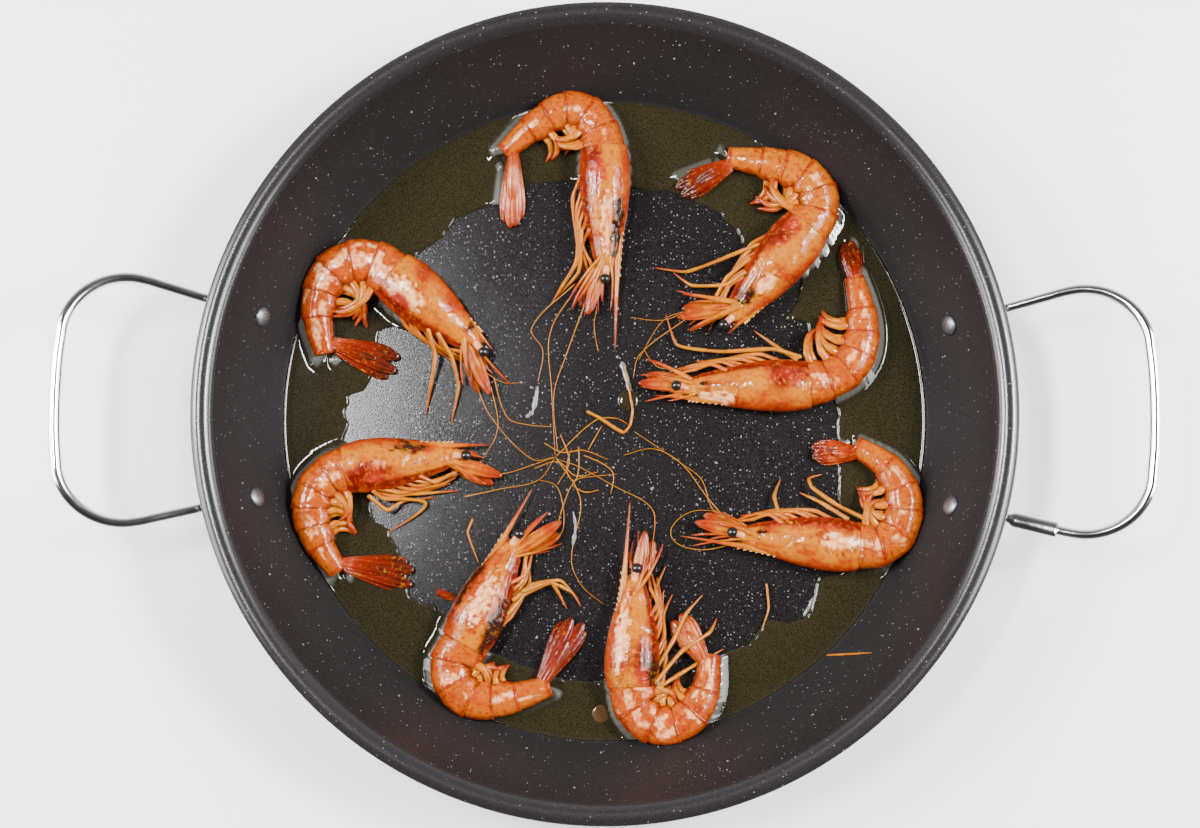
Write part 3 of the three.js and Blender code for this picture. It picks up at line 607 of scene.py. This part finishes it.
def shell_skin(bm, spine, spec, seed):
    """The shell over the head, with a keel, a groove across it and one along it."""

    def place(along, around):
        at = shell_front + shell_run * along
        angle = around * 2 * math.pi
        depth, rise = math.cos(angle), math.sin(angle)
        keel = 0.05 * max(0.0, -depth) ** 6
        groove = 0.045 * hump(along, 0.52 + 0.1 * depth, 0.018)
        groove += 0.035 * hump(depth, 0.5, 0.07) * (along < 0.9)
        rim = 0.05 * hump(depth, 0.93, 0.05)
        dents = 0.018 * noise.noise(Vector((along * 16, angle * 2.5, seed)))
        half = spine.half(at) * (1 + keel - groove + rim + dents)
        return spine.skin_point(at, half * dome(along * 8) * dome((1 - along) * 34), depth, rise)

    def tint(along, around):
        depth = math.cos(around * 2 * math.pi)
        share = (shell_front + shell_run * along - 1) / 2  # 0 at the shell's front and 1 at the neck
        spot = Vector((share * 4, depth * 1.6, seed))
        coarse = noise.noise(spot * 1.2)
        fine = noise.noise(spot * 4.2)
        speckle = noise.noise(spot * 11)
        base = mixed(orange, yellow, 1.05 - abs(depth) ** 2 * 1.4 + 1.3 * coarse + 0.9 * fine)
        # darker towards the back edge: partly the shell's colour, partly painted shade where the body
        # curves away
        base = mixed(base, ember, -1.5 * coarse + 0.8 * fine - 0.3 + 0.6 * max(0.0, -depth - 0.6))
        # pale pink and cream patches: partly pale flesh, partly painted highlight
        white = patch((share, depth), spec["pale"]) + 0.7 * fine + 0.4 * speckle
        base = mixed(base, ember, 0.9 * hump(white, -0.12, 0.09))
        base = mixed(base, mixed(pink, cream, 0.6 + 1.4 * fine), 3 * white)
        heat = patch((share, depth), spec["blush"])
        base = mixed(base, mixed(red, rose, 0.6 + 1.5 * coarse), 2.4 * heat + 0.9 * fine * (heat > -0.6))
        base = mixed(base, pink, (heat > 0) * (3.6 * speckle - 1.3))
        # a dark line near the belly edge: partly the shell's dark margin, partly painted shade where the
        # body curves away
        base = mixed(base, mixed(ember, red, 0.5 + fine), 1.3 * hump(depth, 0.8, 0.14) + 0.6 * fine - 0.1)
        for region in spec["burns"]:
            char = patch((share, depth), region)
            base = mixed(base, umber, (2.1 * char + 1.3 * fine) * (char > -0.5))
        # a dark line at the rear edge and along the back: partly the shell's colour, partly painted shade
        return mixed(base, ember, 0.95 * hump(along, 0.985, 0.018) + 0.6 * hump(depth, -1, 0.06))
    skin(bm, 110, 64, place, tint)


def ring_skin(bm, spine, number, pale_and_highlight_share, seed):
    """One ring of the body. Its rear edge lies over the next ring, and its belly edge is a lobe."""
    start, end = 2.84 + number, 4.05 + number
    lobe_depth = 0 if number == 5 else 0.26

    def place(along, around):
        at = start + (end - start) * along
        angle = around * 2 * math.pi
        depth, rise = math.cos(angle), math.sin(angle)
        flare = 0.95 + 0.075 * min(1, along * 1.3) + 0.03 * hump(along, 0.93, 0.05)
        lobe_shape = math.sin(math.pi * min(1, along * 1.02)) ** 0.7 - 0.45
        lobe = lobe_depth * max(0.0, depth) ** 3 * lobe_shape
        dents = 0.012 * noise.noise(Vector((along * 5, angle * 2.5, seed + number)))
        half = spine.half(at) * (flare + lobe + dents)
        return spine.skin_point(at, half * dome(min(along * 14, (1 - along) * 26)), depth, rise)

    def tint(along, around):
        depth = math.cos(around * 2 * math.pi)
        spot = Vector((along * 1.6 + number * 3, depth * 2, seed))
        coarse = noise.noise(spot * 1.1)
        fine = noise.noise(spot * 3.6)
        speckle = noise.noise(spot * 9)
        base = mixed(orange, yellow, 0.8 - 0.6 * pale_and_highlight_share + 0.6 * coarse)
        base = mixed(base, salmon, pale_and_highlight_share + 0.9 * coarse - 0.1 * number)
        # pale pink and cream on the top of the body: partly pale flesh, partly painted highlight
        white = 0.95 * pale_and_highlight_share - 0.5 - abs(depth + 0.05) * 1.5 + 2.1 * coarse + 0.5 * fine - 0.03 * number
        base = mixed(base, ember, 0.6 * hump(white, -0.15, 0.09))
        base = mixed(base, mixed(pink, cream, 0.5 + 1.4 * fine), 2.4 * white)
        # darker towards both edges, where the ring curves away from the top: partly the ring's deeper
        # colour, partly painted shade
        base = mixed(base, ember, 3.12 * max(0.0, abs(depth) - 0.72) + 0.5 * fine)
        base = mixed(base, ember, 3.0 * speckle - 1.1)
        seam = 1.3 * hump(along, 0.91, 0.045) + 0.7 * hump(along, 0.3, 0.02) * (fine > 0)
        return mixed(base, mixed(orange, ember, 0.6 + fine), seam)
    skin(bm, 30, 56, place, tint)


rib_count = 7


def blade(bm, knots, widths, thickness, colours, rings=20, sides=12, closed_by=0.08, ribs=0.0, ease=1 / 3):
    """A leg or blade along knots. widths are half ones in mm, and the colours run root to tip."""
    line = smooth_line([Vector(knot) for knot in knots], 8, ease)

    def shape(along):
        width = between(widths, along) * MM
        return width, min(thickness * MM, width)

    def rib(around):
        return math.cos(around * 2 * math.pi * rib_count)

    def tint(along, around):
        spot = along * (len(colours) - 1)
        i = min(int(spot), len(colours) - 2)
        here = mixed(colours[i], colours[i + 1], spot - i)
        uneven = noise.noise(Vector((along * 5, around * 3, knots[0][0] * 900)))
        here = mixed(here, mixed(cream, yellow, 0.7), (0.9 * uneven - 0.2) * min(1, 2.5 * here.x))
        here = mixed(here, ember, -0.9 * uneven - 0.1)
        return mixed(here, ember, ribs * (0.5 + 0.5 * rib(around)))
    path = sweep(line, shape, closed_by)

    def place(along, around):
        point = path(along, around)
        if ribs:
            point.z += 0.22 * MM * rib(around) * math.sin(math.pi * along) ** 0.5
        return point
    skin(bm, rings, sides, place, tint)


tail_colours = {
    "pale": (orange, orange, salmon, pink, salmon, ember),
    "dark": (orange, orange, ember, red, umber, umber),
    "red": (orange, ember, ember, red, red, umber),
    "striped": (orange, orange, ember, orange, red, umber),
}


def fan_skins(bm, spine, fan, splay, colours, dice):
    """The tail's fan: five ribbed blades. Each has a spread, a share of the length, half its width
    and its height over the lowest."""
    root, _, _ = spine.at(8.6)
    blades = ((-17, 0.93, 3.1, 0), (-9, 1, 3.0, 1.6), (18, 0.9, 3.0, 0.2), (10, 0.98, 3.1, 1.9),
              (1, 0.72, 2.6, 3.2))
    for spread, share, wide, lift in blades:
        out = bearing(spine.fan_angle + math.radians(spread * splay + dice.uniform(-1.5, 1.5)))
        knots = [root + out * (fan + 4) * share * at * MM + Vector((0, 0, (6.0 + lift - drop) * MM))
                 for at, drop in ((0, 0), (0.35, -0.5), (0.7, 0.4), (1, 1.9))]
        widths = [(0, 1.6), (0.3, wide * 0.8), (0.7, wide), (0.9, wide * 0.72), (1, wide * 0.3)]
        blade(bm, knots, widths, 0.6, colours, 40, 28, 0.04, ribs=0.45)


eye_r = 2.3 * MM


def eye_skin(bm, centre):
    """One eye, a black ball."""

    def place(along, around):
        height, turn = math.pi * along, 2 * math.pi * around
        return centre + eye_r * Vector((math.sin(height) * math.cos(turn),
                                        math.sin(height) * math.sin(turn), -math.cos(height)))

    def tint(along, around):
        return Vector((0.01, 0.008, 0.008))
    for face in skin(bm, 12, 16, place, tint):
        face.material_index = 1


def head_skins(bm, spine, spec, dice):
    """What the head carries: a toothed spike, two scales, nine short feelers and two eyes."""
    ahead = bearing(math.radians(spec["head"]))
    belly = Vector((ahead.y, -ahead.x, 0))
    nose = spine.spot(1, 0)

    def put(front, down, up):
        return nose + (ahead * front + belly * down + Vector((0, 0, up))) * MM
    spike = spec["spike"]
    knots = [put(-spec["shell"] * 0.35, -7.2, 2), put(0, -5.2, 1.4), put(spike * 0.5, -4, 0.8),
             put(spike, -3, -1)]
    spike_colours = (orange, straw, salmon, ember)
    blade(bm, knots, [(0, 1.1), (0.3, 1.6), (0.6, 0.9), (1, 0.2)], 1, spike_colours, 30, 10)
    ridge = smooth_line(knots, 6)
    for tooth in range(7):
        foot = ridge[2 + tooth]
        tip = foot + (ahead * 2.4 - belly * 1.7) * MM
        blade(bm, [foot - ahead * MM, foot.lerp(tip, 0.5), tip], [(0, 0.9), (0.5, 0.6), (1, 0.1)], 0.5,
              (orange, cream), 6, 6)
    for turn, up, length in ((spec["scales"], 1.8, 27), (spec["scales"] + 10, -1.6, 24)):
        c, s = math.cos(math.radians(turn)), math.sin(math.radians(turn))
        knots = [put(r * c, 1 + r * s, up * (1 + r / 60) - r * 0.07) for r in (0, 9, 18, length)]
        blade(bm, knots, [(0, 1.4), (0.35, 2.9), (0.7, 2.7), (0.9, 1.6), (1, 0.5)], 0.7,
              (yellow, orange, yellow, orange, ember), 30, 28, 0.04, ribs=0.6)
    for strand in range(9):
        turn = math.radians(spec["scales"] - 16 + 5 * strand + dice.uniform(-3, 3))
        c, s = math.cos(turn), math.sin(turn)
        length = dice.uniform(17, 31)
        up = dice.uniform(0.5, 4.5)
        sag = dice.uniform(-2, 2)
        knots = [put(r * c - 2, (r * s - 1) + sag * math.sin(3 * r / length), up - r * 0.12)
                 for r in (0, length * 0.4, length * 0.75, length)]
        wide = dice.choice((0.55, 0.7, 1.1))
        widths = [(0, wide * 1.2), (0.38, wide), (0.42, wide * 0.8), (0.75, wide * 0.7), (1, 0.2)]
        blade(bm, knots, widths, 0.8, (straw, yellow, orange, ember), 24, 8)
    for front, down, up in ((10.5, 0.6, 3.2), (9, -1.6, -2)):
        centre = put(front, down, up)
        stalk = [put(front - 6, down - 1, up - 1), centre]
        blade(bm, stalk, [(0, 1.5), (1, 1.6)], 1.5, (cream, orange), 8, 10)
        eye_skin(bm, centre)


# Share of a jointed leg's length, and half its width in mm: it narrows after each joint.
jointed = [(0, 1.0), (0.28, 0.85), (0.31, 1.0), (0.58, 0.7), (0.61, 0.85), (0.85, 0.45), (1, 0.15)]


def leg_skins(bm, spine, spec, dice):
    """The long legs over the floor, six folded ones under the head and ten paddles behind them."""
    for route in spec["legs"]:
        knots = []
        for i, (x, y) in enumerate(route):
            share = i / (len(route) - 1)
            knots.append(over_floor(x, y, 11 * (1 - share) ** 1.5 + 2.4 * share * (1 - share) + 1.0))
        blade(bm, knots, jointed, 0.8, (straw, yellow, straw, orange), 14 * len(route), 8, 0.03, ease=0.16)
    for i in range(6):
        share = i / 5
        out = (6.5 + dice.uniform(-0.5, 0.5)) * MM
        hip = spine.spot(1.5 + 1.3 * share, out, (3.5 - 2 * share) * MM)
        out = (9.6 + 0.7 * i + dice.uniform(-0.7, 0.7)) * MM
        mid = spine.spot(1.2 + 0.9 * share, out, (1.5 - 0.6 * i) * MM)
        out = (7.4 + 1.0 * i + dice.uniform(-0.9, 0.9)) * MM
        low = spine.spot(0.7 + 0.6 * share, out, (1 - 0.8 * i) * MM)
        tip = spine.spot(-1.0 + 0.35 * i, (4 + 1.3 * i + dice.uniform(-2, 2)) * MM, -3.5 * MM)
        folded_colours = (mixed(orange, pink, 0.4), yellow, orange)
        blade(bm, [hip, mid, low, tip], jointed, 0.8, folded_colours, 30, 8, 0.03, ease=0.2)
    for i in range(10):
        at = 3.35 + 0.98 * (i // 2) + 0.3 * (i % 2)
        _, ahead, belly = spine.at(at)
        reach = (spec["swim"] + 3 - i * 0.4) * dice.uniform(0.88, 1.1) * MM
        hip = spine.spot(at, spine.half(at) * 0.75, (2.4 - i * 0.2 - 2 * (i % 2)) * MM)
        curl = dice.uniform(0.3, 0.6)
        knots = [hip, hip + belly * reach * 0.42 - ahead * reach * 0.06 + Vector((0, 0, 0.6 * MM)),
                 hip + belly * reach * 0.8 + ahead * reach * 0.1 - Vector((0, 0, 1.2 * MM)),
                 hip + belly * reach * 0.98 + ahead * reach * curl - Vector((0, 0, 3 * MM))]
        blade(bm, knots, [(0, 1.5), (0.3, 1.6), (0.36, 1.3), (0.7, 1.25), (1, 0.4)], 1.0,
              (salmon, yellow, yellow, orange, ember), 26, 12, 0.05)


def feeler_skins(bm, spec, dice):
    """The long feelers, thin strands that lie on the floor."""
    for route in spec["feelers"]:
        lift = dice.uniform(0.3, 1.3)
        root_lift = 5.5 if len(route) > 2 else 0
        knots = [over_floor(x, y, lift + (0 if i else root_lift)) for i, (x, y) in enumerate(route)]
        length = sum((b - a).length for a, b in zip(knots, knots[1:]))
        blade(bm, knots, [(0, 0.26), (0.3, 0.19), (1, 0.12)], 0.3, (straw, straw, straw),
              int(length / (1.3 * MM)), 6, 0.01)


def tinted_mesh():
    """A new bmesh whose points hold a tint."""
    bm = bmesh.new()
    bm.loops.layers.uv.new("UVMap")
    bm.verts.layers.float_color.new("tint")
    return bm


cooked_shell, tree, shader = finish_material("cooked_shell", (0.8, 0.3, 0.1), 0.4)
tint_here = add(tree, "Attribute", attribute_name="tint").outputs["Color"]
coords = add(tree, "TexCoord").outputs["Object"]
mottle = noise_map(tree, coords, 520.0, 5.0, 0.65)
paler = ranged(tree, mottle, 0.55, 0.7, 0.0, 0.4)
deeper = ranged(tree, mottle, 0.46, 0.3, 0.0, 0.75)
dots = add(tree, "TexVoronoi", Vector=coords, Scale=560.0).outputs["Distance"]
dots = ranged(tree, dots, 0.12, 0.2, 0.6, 0.0)
colour = colour_mix(tree, paler, tint_here, (0.58, 0.19, 0.002, 1))
colour = colour_mix(tree, deeper, colour, (0.18, 0.009, 0.0005, 1))
colour = colour_mix(tree, dots, colour, (0.22, 0.012, 0.0008, 1))
tree.links.new(colour, shader.inputs["Base Color"])
bump = add(tree, "Bump", Strength=0.4, Distance=0.0005, Height=mottle).outputs["Normal"]
tree.links.new(bump, shader.inputs["Normal"])
dents = noise_map(tree, coords, 170.0, 3.0)
dents = add(tree, "Bump", Strength=0.5, Distance=0.0012, Height=dents).outputs["Normal"]
tree.links.new(dents, shader.inputs["Coat Normal"])
shader.inputs["Specular IOR Level"].default_value = 0.04
shader.inputs["Coat Weight"].default_value = 0.45
shader.inputs["Coat Roughness"].default_value = 0.07
black_eye, _, _ = finish_material("black_eye", (0.008, 0.007, 0.007), 0.12)

wall_gap = 0.3 * MM  # between the wall and a shell that leans on it
body_climb, fan_climb = 1.7 * MM, 1.1 * MM  # how far oil climbs up them
bodies = []  # for the oil: pairs of circles along each body, as x, y and radius, and the climb there
for number, spec in enumerate(shrimps, 1):
    spine = Spine(**spec)
    dice = random.Random(number)
    bm = tinted_mesh()
    shell_skin(bm, spine, spec, number * 7.3)
    for ring in range(6):
        ring_skin(bm, spine, ring, spec["pale_and_highlight_share"], number * 7.3)
    fan_skins(bm, spine, spec["fan"], spec["splay"], tail_colours[spec["tail"]], dice)
    head_skins(bm, spine, spec, dice)
    leg_skins(bm, spine, spec, dice)
    feeler_skins(bm, spec, dice)
    for vert in bm.verts:  # a shell that leans on the wall is pressed in by it
        reach, most = vert.co.xy.length, wall_radius(vert.co.z) - wall_gap
        if reach > most:
            vert.co.xy = vert.co.xy * (most / reach)
    shrimp = piece(f"whole_shrimp_{number}", bm, [cooked_shell, black_eye])
    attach(shrimp, "root")
    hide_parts(f"shrimp_{number}")
    covers = [(*spine.at(i / 4)[0].xy, spine.half(i / 4)) for i in range(2, 37)]
    bodies += [(a, b, body_climb) for a, b in zip(covers, covers[1:])]
    root, out = spine.at(fan_place)[0], bearing(spine.fan_angle)
    fan_cover = [(*(root + out * r * MM).xy, r * 0.1 * MM + 1.5 * MM) for r in (7, spec["fan"] - 4)]
    bodies.append((*fan_cover, fan_climb))

# The loose legs: three bits of leg that broke off and lie on the floor of the pan, one thick and
# two thin.
thick_leg = [(0, 0.7), (0.4, 0.8), (0.45, 0.6), (0.8, 0.55), (1, 0.25)]
thin_leg = [(0, 0.5), (0.5, 0.45), (1, 0.15)]
loose_legs = [([(-8, 2), (-2, -1), (8, -7), (11, -4), (12, 3), (8, 23)], thick_leg),
              ([(-56, -45), (-58, -51), (-53, -64)], thin_leg),
              ([(70, -71), (71, -82), (68, -91)], thin_leg)]
for number, (route, widths) in enumerate(loose_legs, 1):
    bm = tinted_mesh()
    knots = [over_floor(x, y, 1.1) for x, y in route]
    blade(bm, knots, widths, 0.8, (straw, yellow, straw), 40, 8, 0.03, ease=0.16)
    loose = piece(f"broken_leg_{number}", bm, [cooked_shell])
    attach(loose, "root")
    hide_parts(f"loose_leg_{number}")

# The loose feelers: thin strands that broke off and lie in a knot in the middle of the pan. One more
# sticks to the wall, and a browned scrap of shell lies near the edge of the floor.
strands = [[(-11, -13), (-11, -24), (-13, -28), (-16, -23), (-14, -14)],
           [(-9, -17), (0, -21), (4, -25), (3, -34)], [(-2, -32), (-8, -33), (-14, -30)],
           [(-21, -18), (-4, -2), (5, -1), (11, -4)], [(-7, -15), (-1, -4)],
           [(-26, -12), (-18, -16), (-9, -15), (2, -19)], [(-30, -23), (-20, -20), (-12, -26), (-2, -24)],
           [(-19, -8), (-15, -20), (-20, -30)]]
wall_strand = [(-46.7, 6), (-44.2, 15.5), (-41.6, 26.5)]  # its turn round the pan, and its height
scrap = [(-71, -76), (-66, -78), (-60, -80)]
bm = tinted_mesh()
for number, route in enumerate(strands):
    knots = [over_floor(x, y, 0.5 + 0.35 * (number % 3)) for x, y in route]
    blade(bm, knots, [(0, 0.2), (0.5, 0.24), (1, 0.12)], 0.2, (straw, straw, straw),
          12 * len(route), 6, 0.02)
knots = []
for turn, rise in wall_strand:
    knots.append(bearing(math.radians(turn)) * (wall_radius(rise * MM) - 0.4 * MM))
    knots[-1].z = rise * MM
blade(bm, knots, [(0, 0.4), (0.5, 0.5), (1, 0.2)], 0.4, (straw, yellow, straw), 30, 6, 0.02)
knots = [over_floor(x, y, 1.2) for x, y in scrap]
blade(bm, knots, [(0, 1.5), (0.5, 1.8), (1, 1.2)], 1.0, (red, ember, umber), 30, 10, 0.06)
feelers = piece("broken_feelers", bm, [cooked_shell])
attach(feelers, "root")

# The oil: a shallow ring of olive oil in the low edge of the floor. It climbs a little up the
# wall and up the outer side of each shrimp, and it leaves the middle of the pan dry. Where it climbs
# a shrimp's side that faces left or right, it carries a painted reflection: a pale grey in its colour.
oil_z = 4.4 * MM
dry_edge = [  # where the oil stops, going round
    (-84, 64), (-82, 70), (-76, 74), (-70, 80), (-64, 87), (-56, 90), (-40, 95), (-36, 101), (-25, 103),
    (-17, 103), (10, 100), (18, 100), (30, 98), (40, 94), (50, 88), (56, 83), (60, 76), (64, 73), (85, 62),
    (80, 45), (86, 42), (100, 4), (100, -5), (100, -30), (105, -65), (92, -70), (90, -78), (86, -86),
    (80, -88), (72, -86), (68, -90), (62, -97), (55, -100), (2, -113), (-15, -113), (-72, -82), (-78, -82),
    (-82, -78), (-84, -72), (-84, -66), (-88, -58), (-92, -50), (-98, -47), (-100, -14), (-108, -14),
    (-113, -12), (-110, -5), (-112, 0), (-110, 8), (-104, 10), (-98, 22), (-100, 30), (-98, 36), (-92, 38),
    (-86, 36)]
turn_of, reach_of = zip(*sorted((math.atan2(y, x), math.hypot(x, y) * MM) for x, y in dry_edge))
wall_at_oil = wall_radius(oil_z) - 0.4 * MM
top_share = 0.88  # of the grid's rows, for the surface; the others make the underside
climb_width = 4 * MM
wall_climb, wall_climb_width = 0.9 * MM, 0.8 * MM
bank_depth, bank_width = 0.7 * MM, 1.6 * MM  # the rounded edge on the dry floor
painted_sheen_start, painted_sheen_range = 0.5, 0.2  # climb in mm at which the painted reflection starts


def noise_over(x, y, layer, scale):
    """Soft random values, from -1 to 1, at many points."""
    return np.array([noise.noise(Vector((a, b, layer)) * scale) for a, b in zip(x, y)])


bm = bmesh.new()
bmesh.ops.create_grid(bm, x_segments=900, y_segments=108, size=0.5)
grid = np.array([vert.co for vert in bm.verts])
turn, out = grid[:, 0] * 2 * math.pi, (grid[:, 1] + 0.5) / top_share
lower = out > 1
out = np.where(lower, (1 / top_share - out) / (1 / top_share - 1), out)
cos, sin = np.cos(turn), np.sin(turn)
wobble = noise_over(cos, sin, 0, 14) + 0.5 * noise_over(cos, sin, 3, 37)
edge = np.interp(turn, turn_of, reach_of, period=2 * math.pi) + 1.3 * MM * wobble
radius = edge + (wall_at_oil - edge) * out
x, y = radius * cos, radius * sin
climb, sheen_side = np.zeros(len(grid)), np.zeros(len(grid))
for (ax, ay, ar), (bx, by, br), rise in bodies:
    share = ((x - ax) * (bx - ax) + (y - ay) * (by - ay)) / ((bx - ax) ** 2 + (by - ay) ** 2)
    share = np.clip(share, 0, 1)
    dx, dy = x - ax - share * (bx - ax), y - ay - share * (by - ay)
    away = np.hypot(dx, dy)
    gap = away - ar - share * (br - ar)
    outward = (dx * x + dy * y) / (away * radius + 1e-9)
    here = rise * np.clip(0.3 + 0.8 * outward, 0.06, 1) * np.clip(1 - gap / climb_width, 0, 1)
    # how much the climb faces left or right, towards the lamps: where the painted reflection goes
    sheen_side_here = np.clip(1.6 * np.abs(dx) / (away + 1e-9) - 0.4, 0, 1) * np.clip(3 * outward - 0.3, 0, 1)
    sheen_side = np.where(here > climb, sheen_side_here, sheen_side)
    climb = np.maximum(climb, here)
climb *= 1 + 0.12 * noise_over(x, y, 5, 40)
# share of painted reflection: a pale grey in the oil's colour on steep climbs that face the side lamps
painted_sheen = np.clip((climb / MM - painted_sheen_start) / painted_sheen_range, 0, 1) * sheen_side
climb += wall_climb * np.exp(-(wall_at_oil - radius) / wall_climb_width)
bank = bank_depth * np.clip(1 - (radius - edge) / bank_width, 0, 1) ** 2
top = oil_z + climb - bank + 0.04 * MM * noise_over(x, y, 0, 70)
under = np.minimum(floor_z(radius) - 0.3 * MM, oil_z - 1.5 * MM)
z = np.where(lower, under, top)
painted_sheen_layer = bm.verts.layers.float_color.new("painted_sheen")
for vert, point, share in zip(bm.verts, zip(x, y, z), np.where(lower, 0, painted_sheen)):
    vert.co = point
    vert[painted_sheen_layer] = (share, share, share, 1)
close_skin(bm, 2e-6)

oil_film, tree, shader = finish_material("oil_film", (0.03, 0.027, 0.008), 0.05)
coords = add(tree, "TexCoord").outputs["Object"]
speck = ranged(tree, noise_map(tree, coords, 2600.0, 3.0, 0.7), 0.35, 0.68, 0.0, 1.0)
base = colour_mix(tree, speck, (0.004, 0.0032, 0.0013, 1), (0.030, 0.024, 0.0115, 1))
# painted reflection: a pale grey mixed into the oil where it climbs the shrimps' sides
painted_sheen_here = add(tree, "Attribute", attribute_name="painted_sheen").outputs["Fac"]
painted_sheen_here = add(tree, "Math", [painted_sheen_here, 0.8], operation="MULTIPLY").outputs[0]
base = colour_mix(tree, painted_sheen_here, base, (0.11, 0.11, 0.1, 1))
tree.links.new(base, shader.inputs["Base Color"])
shader.inputs["Specular IOR Level"].default_value = 0.32
oil = piece("oil_pool", bm, [oil_film])
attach(oil, "root")
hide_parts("oil")

# The spatter: small drops of the same oil on the dry floor and on the wall, a few streaks on the
# floor, four bubbles and one browned spot on the oil.
drop_sizes = (0.15, 0.18, 0.2, 0.25, 0.3, 0.36, 0.5)
drop_count, floor_drops = 900, 640
spatter_r = 104 * MM
dice = random.Random(11)
bm = bmesh.new()
for i in range(drop_count):
    angle = dice.uniform(0, 2 * math.pi)
    size = dice.choice(drop_sizes) * MM
    if i < floor_drops:
        r, tip_over = spatter_r * math.sqrt(dice.random()), 0
        z = floor_z(r)
    else:
        z, tip_over = dice.uniform(9, 40) * MM, -wall_slope
        r = wall_radius(z)
    where = bearing(angle) * r + Vector((0, 0, z))
    lay = (Matrix.Translation(where) @ Matrix.Rotation(angle, 4, "Z") @ Matrix.Rotation(tip_over, 4, "Y")
           @ Matrix.Diagonal((size * dice.uniform(0.8, 1.6), size, size * 0.6, 1)))
    bmesh.ops.create_icosphere(bm, subdivisions=2 if size > 0.4 * MM else 1, radius=1, matrix=lay)
for face in bm.faces:
    face.smooth = True
# A pale grey for the drops and the streaks: on the drops it is painted glints, on the streaks partly pale
# grease and partly painted sheen.
pale_oil_with_painted_sheen, _, _ = finish_material("pale_oil_with_painted_sheen", (0.13, 0.125, 0.12), 0.08)
drops = piece("oil_spatter", bm, [pale_oil_with_painted_sheen])
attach(drops, "root")

streak_routes = [([(-29, 13), (-31, 2), (-34, -1)], 0.9), ([(12, 5), (10, 14), (7, 24)], 1.1),
                 ([(93, -68), (91, -76), (86, -85)], 0.9), ([(-13, -41), (-12, -48), (-13, -56)], 0.7)]
domes = [  # x, y, half width and height in mm, what the dome stands on, and its material's place
    (10, 7, 4.6, 1.0, floor_z(12 * MM), 2),
    (0, -127, 3.7, 0.35, oil_z, 1),
    (80, 44, 1.8, 0.7, oil_z - 0.3 * MM, 2),
    (84, 41, 1.2, 0.6, oil_z - 0.3 * MM, 2),
    (77, 40, 1.3, 0.6, floor_z(87 * MM), 2),
]
bm = bmesh.new()
bm.loops.layers.uv.new("UVMap")
for route, width in streak_routes:

    def uneven(along):
        return width * MM * (1 + 0.8 * noise.noise(Vector((along * 7, width * 9, 0)))), 0.4 * MM
    skin(bm, 40, 12, sweep(smooth_line([over_floor(x, y) for x, y in route]), uneven, 0.15))
for x, y, size, high, base_z, material in domes:
    lay = (Matrix.Translation((x * MM, y * MM, base_z))
           @ Matrix.Diagonal((size * MM, size * MM, high * MM, 1)))
    dome_verts = bmesh.ops.create_icosphere(bm, subdivisions=4, radius=1, matrix=lay)["verts"]
    for face in {face for vert in dome_verts for face in vert.link_faces}:
        face.smooth = True
        face.material_index = material
browned_oil, _, _ = finish_material("browned_oil", (0.06, 0.03, 0.012), 0.1)
streaks = piece("oil_streaks", bm, [pale_oil_with_painted_sheen, browned_oil, oil_film])
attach(streaks, "root")
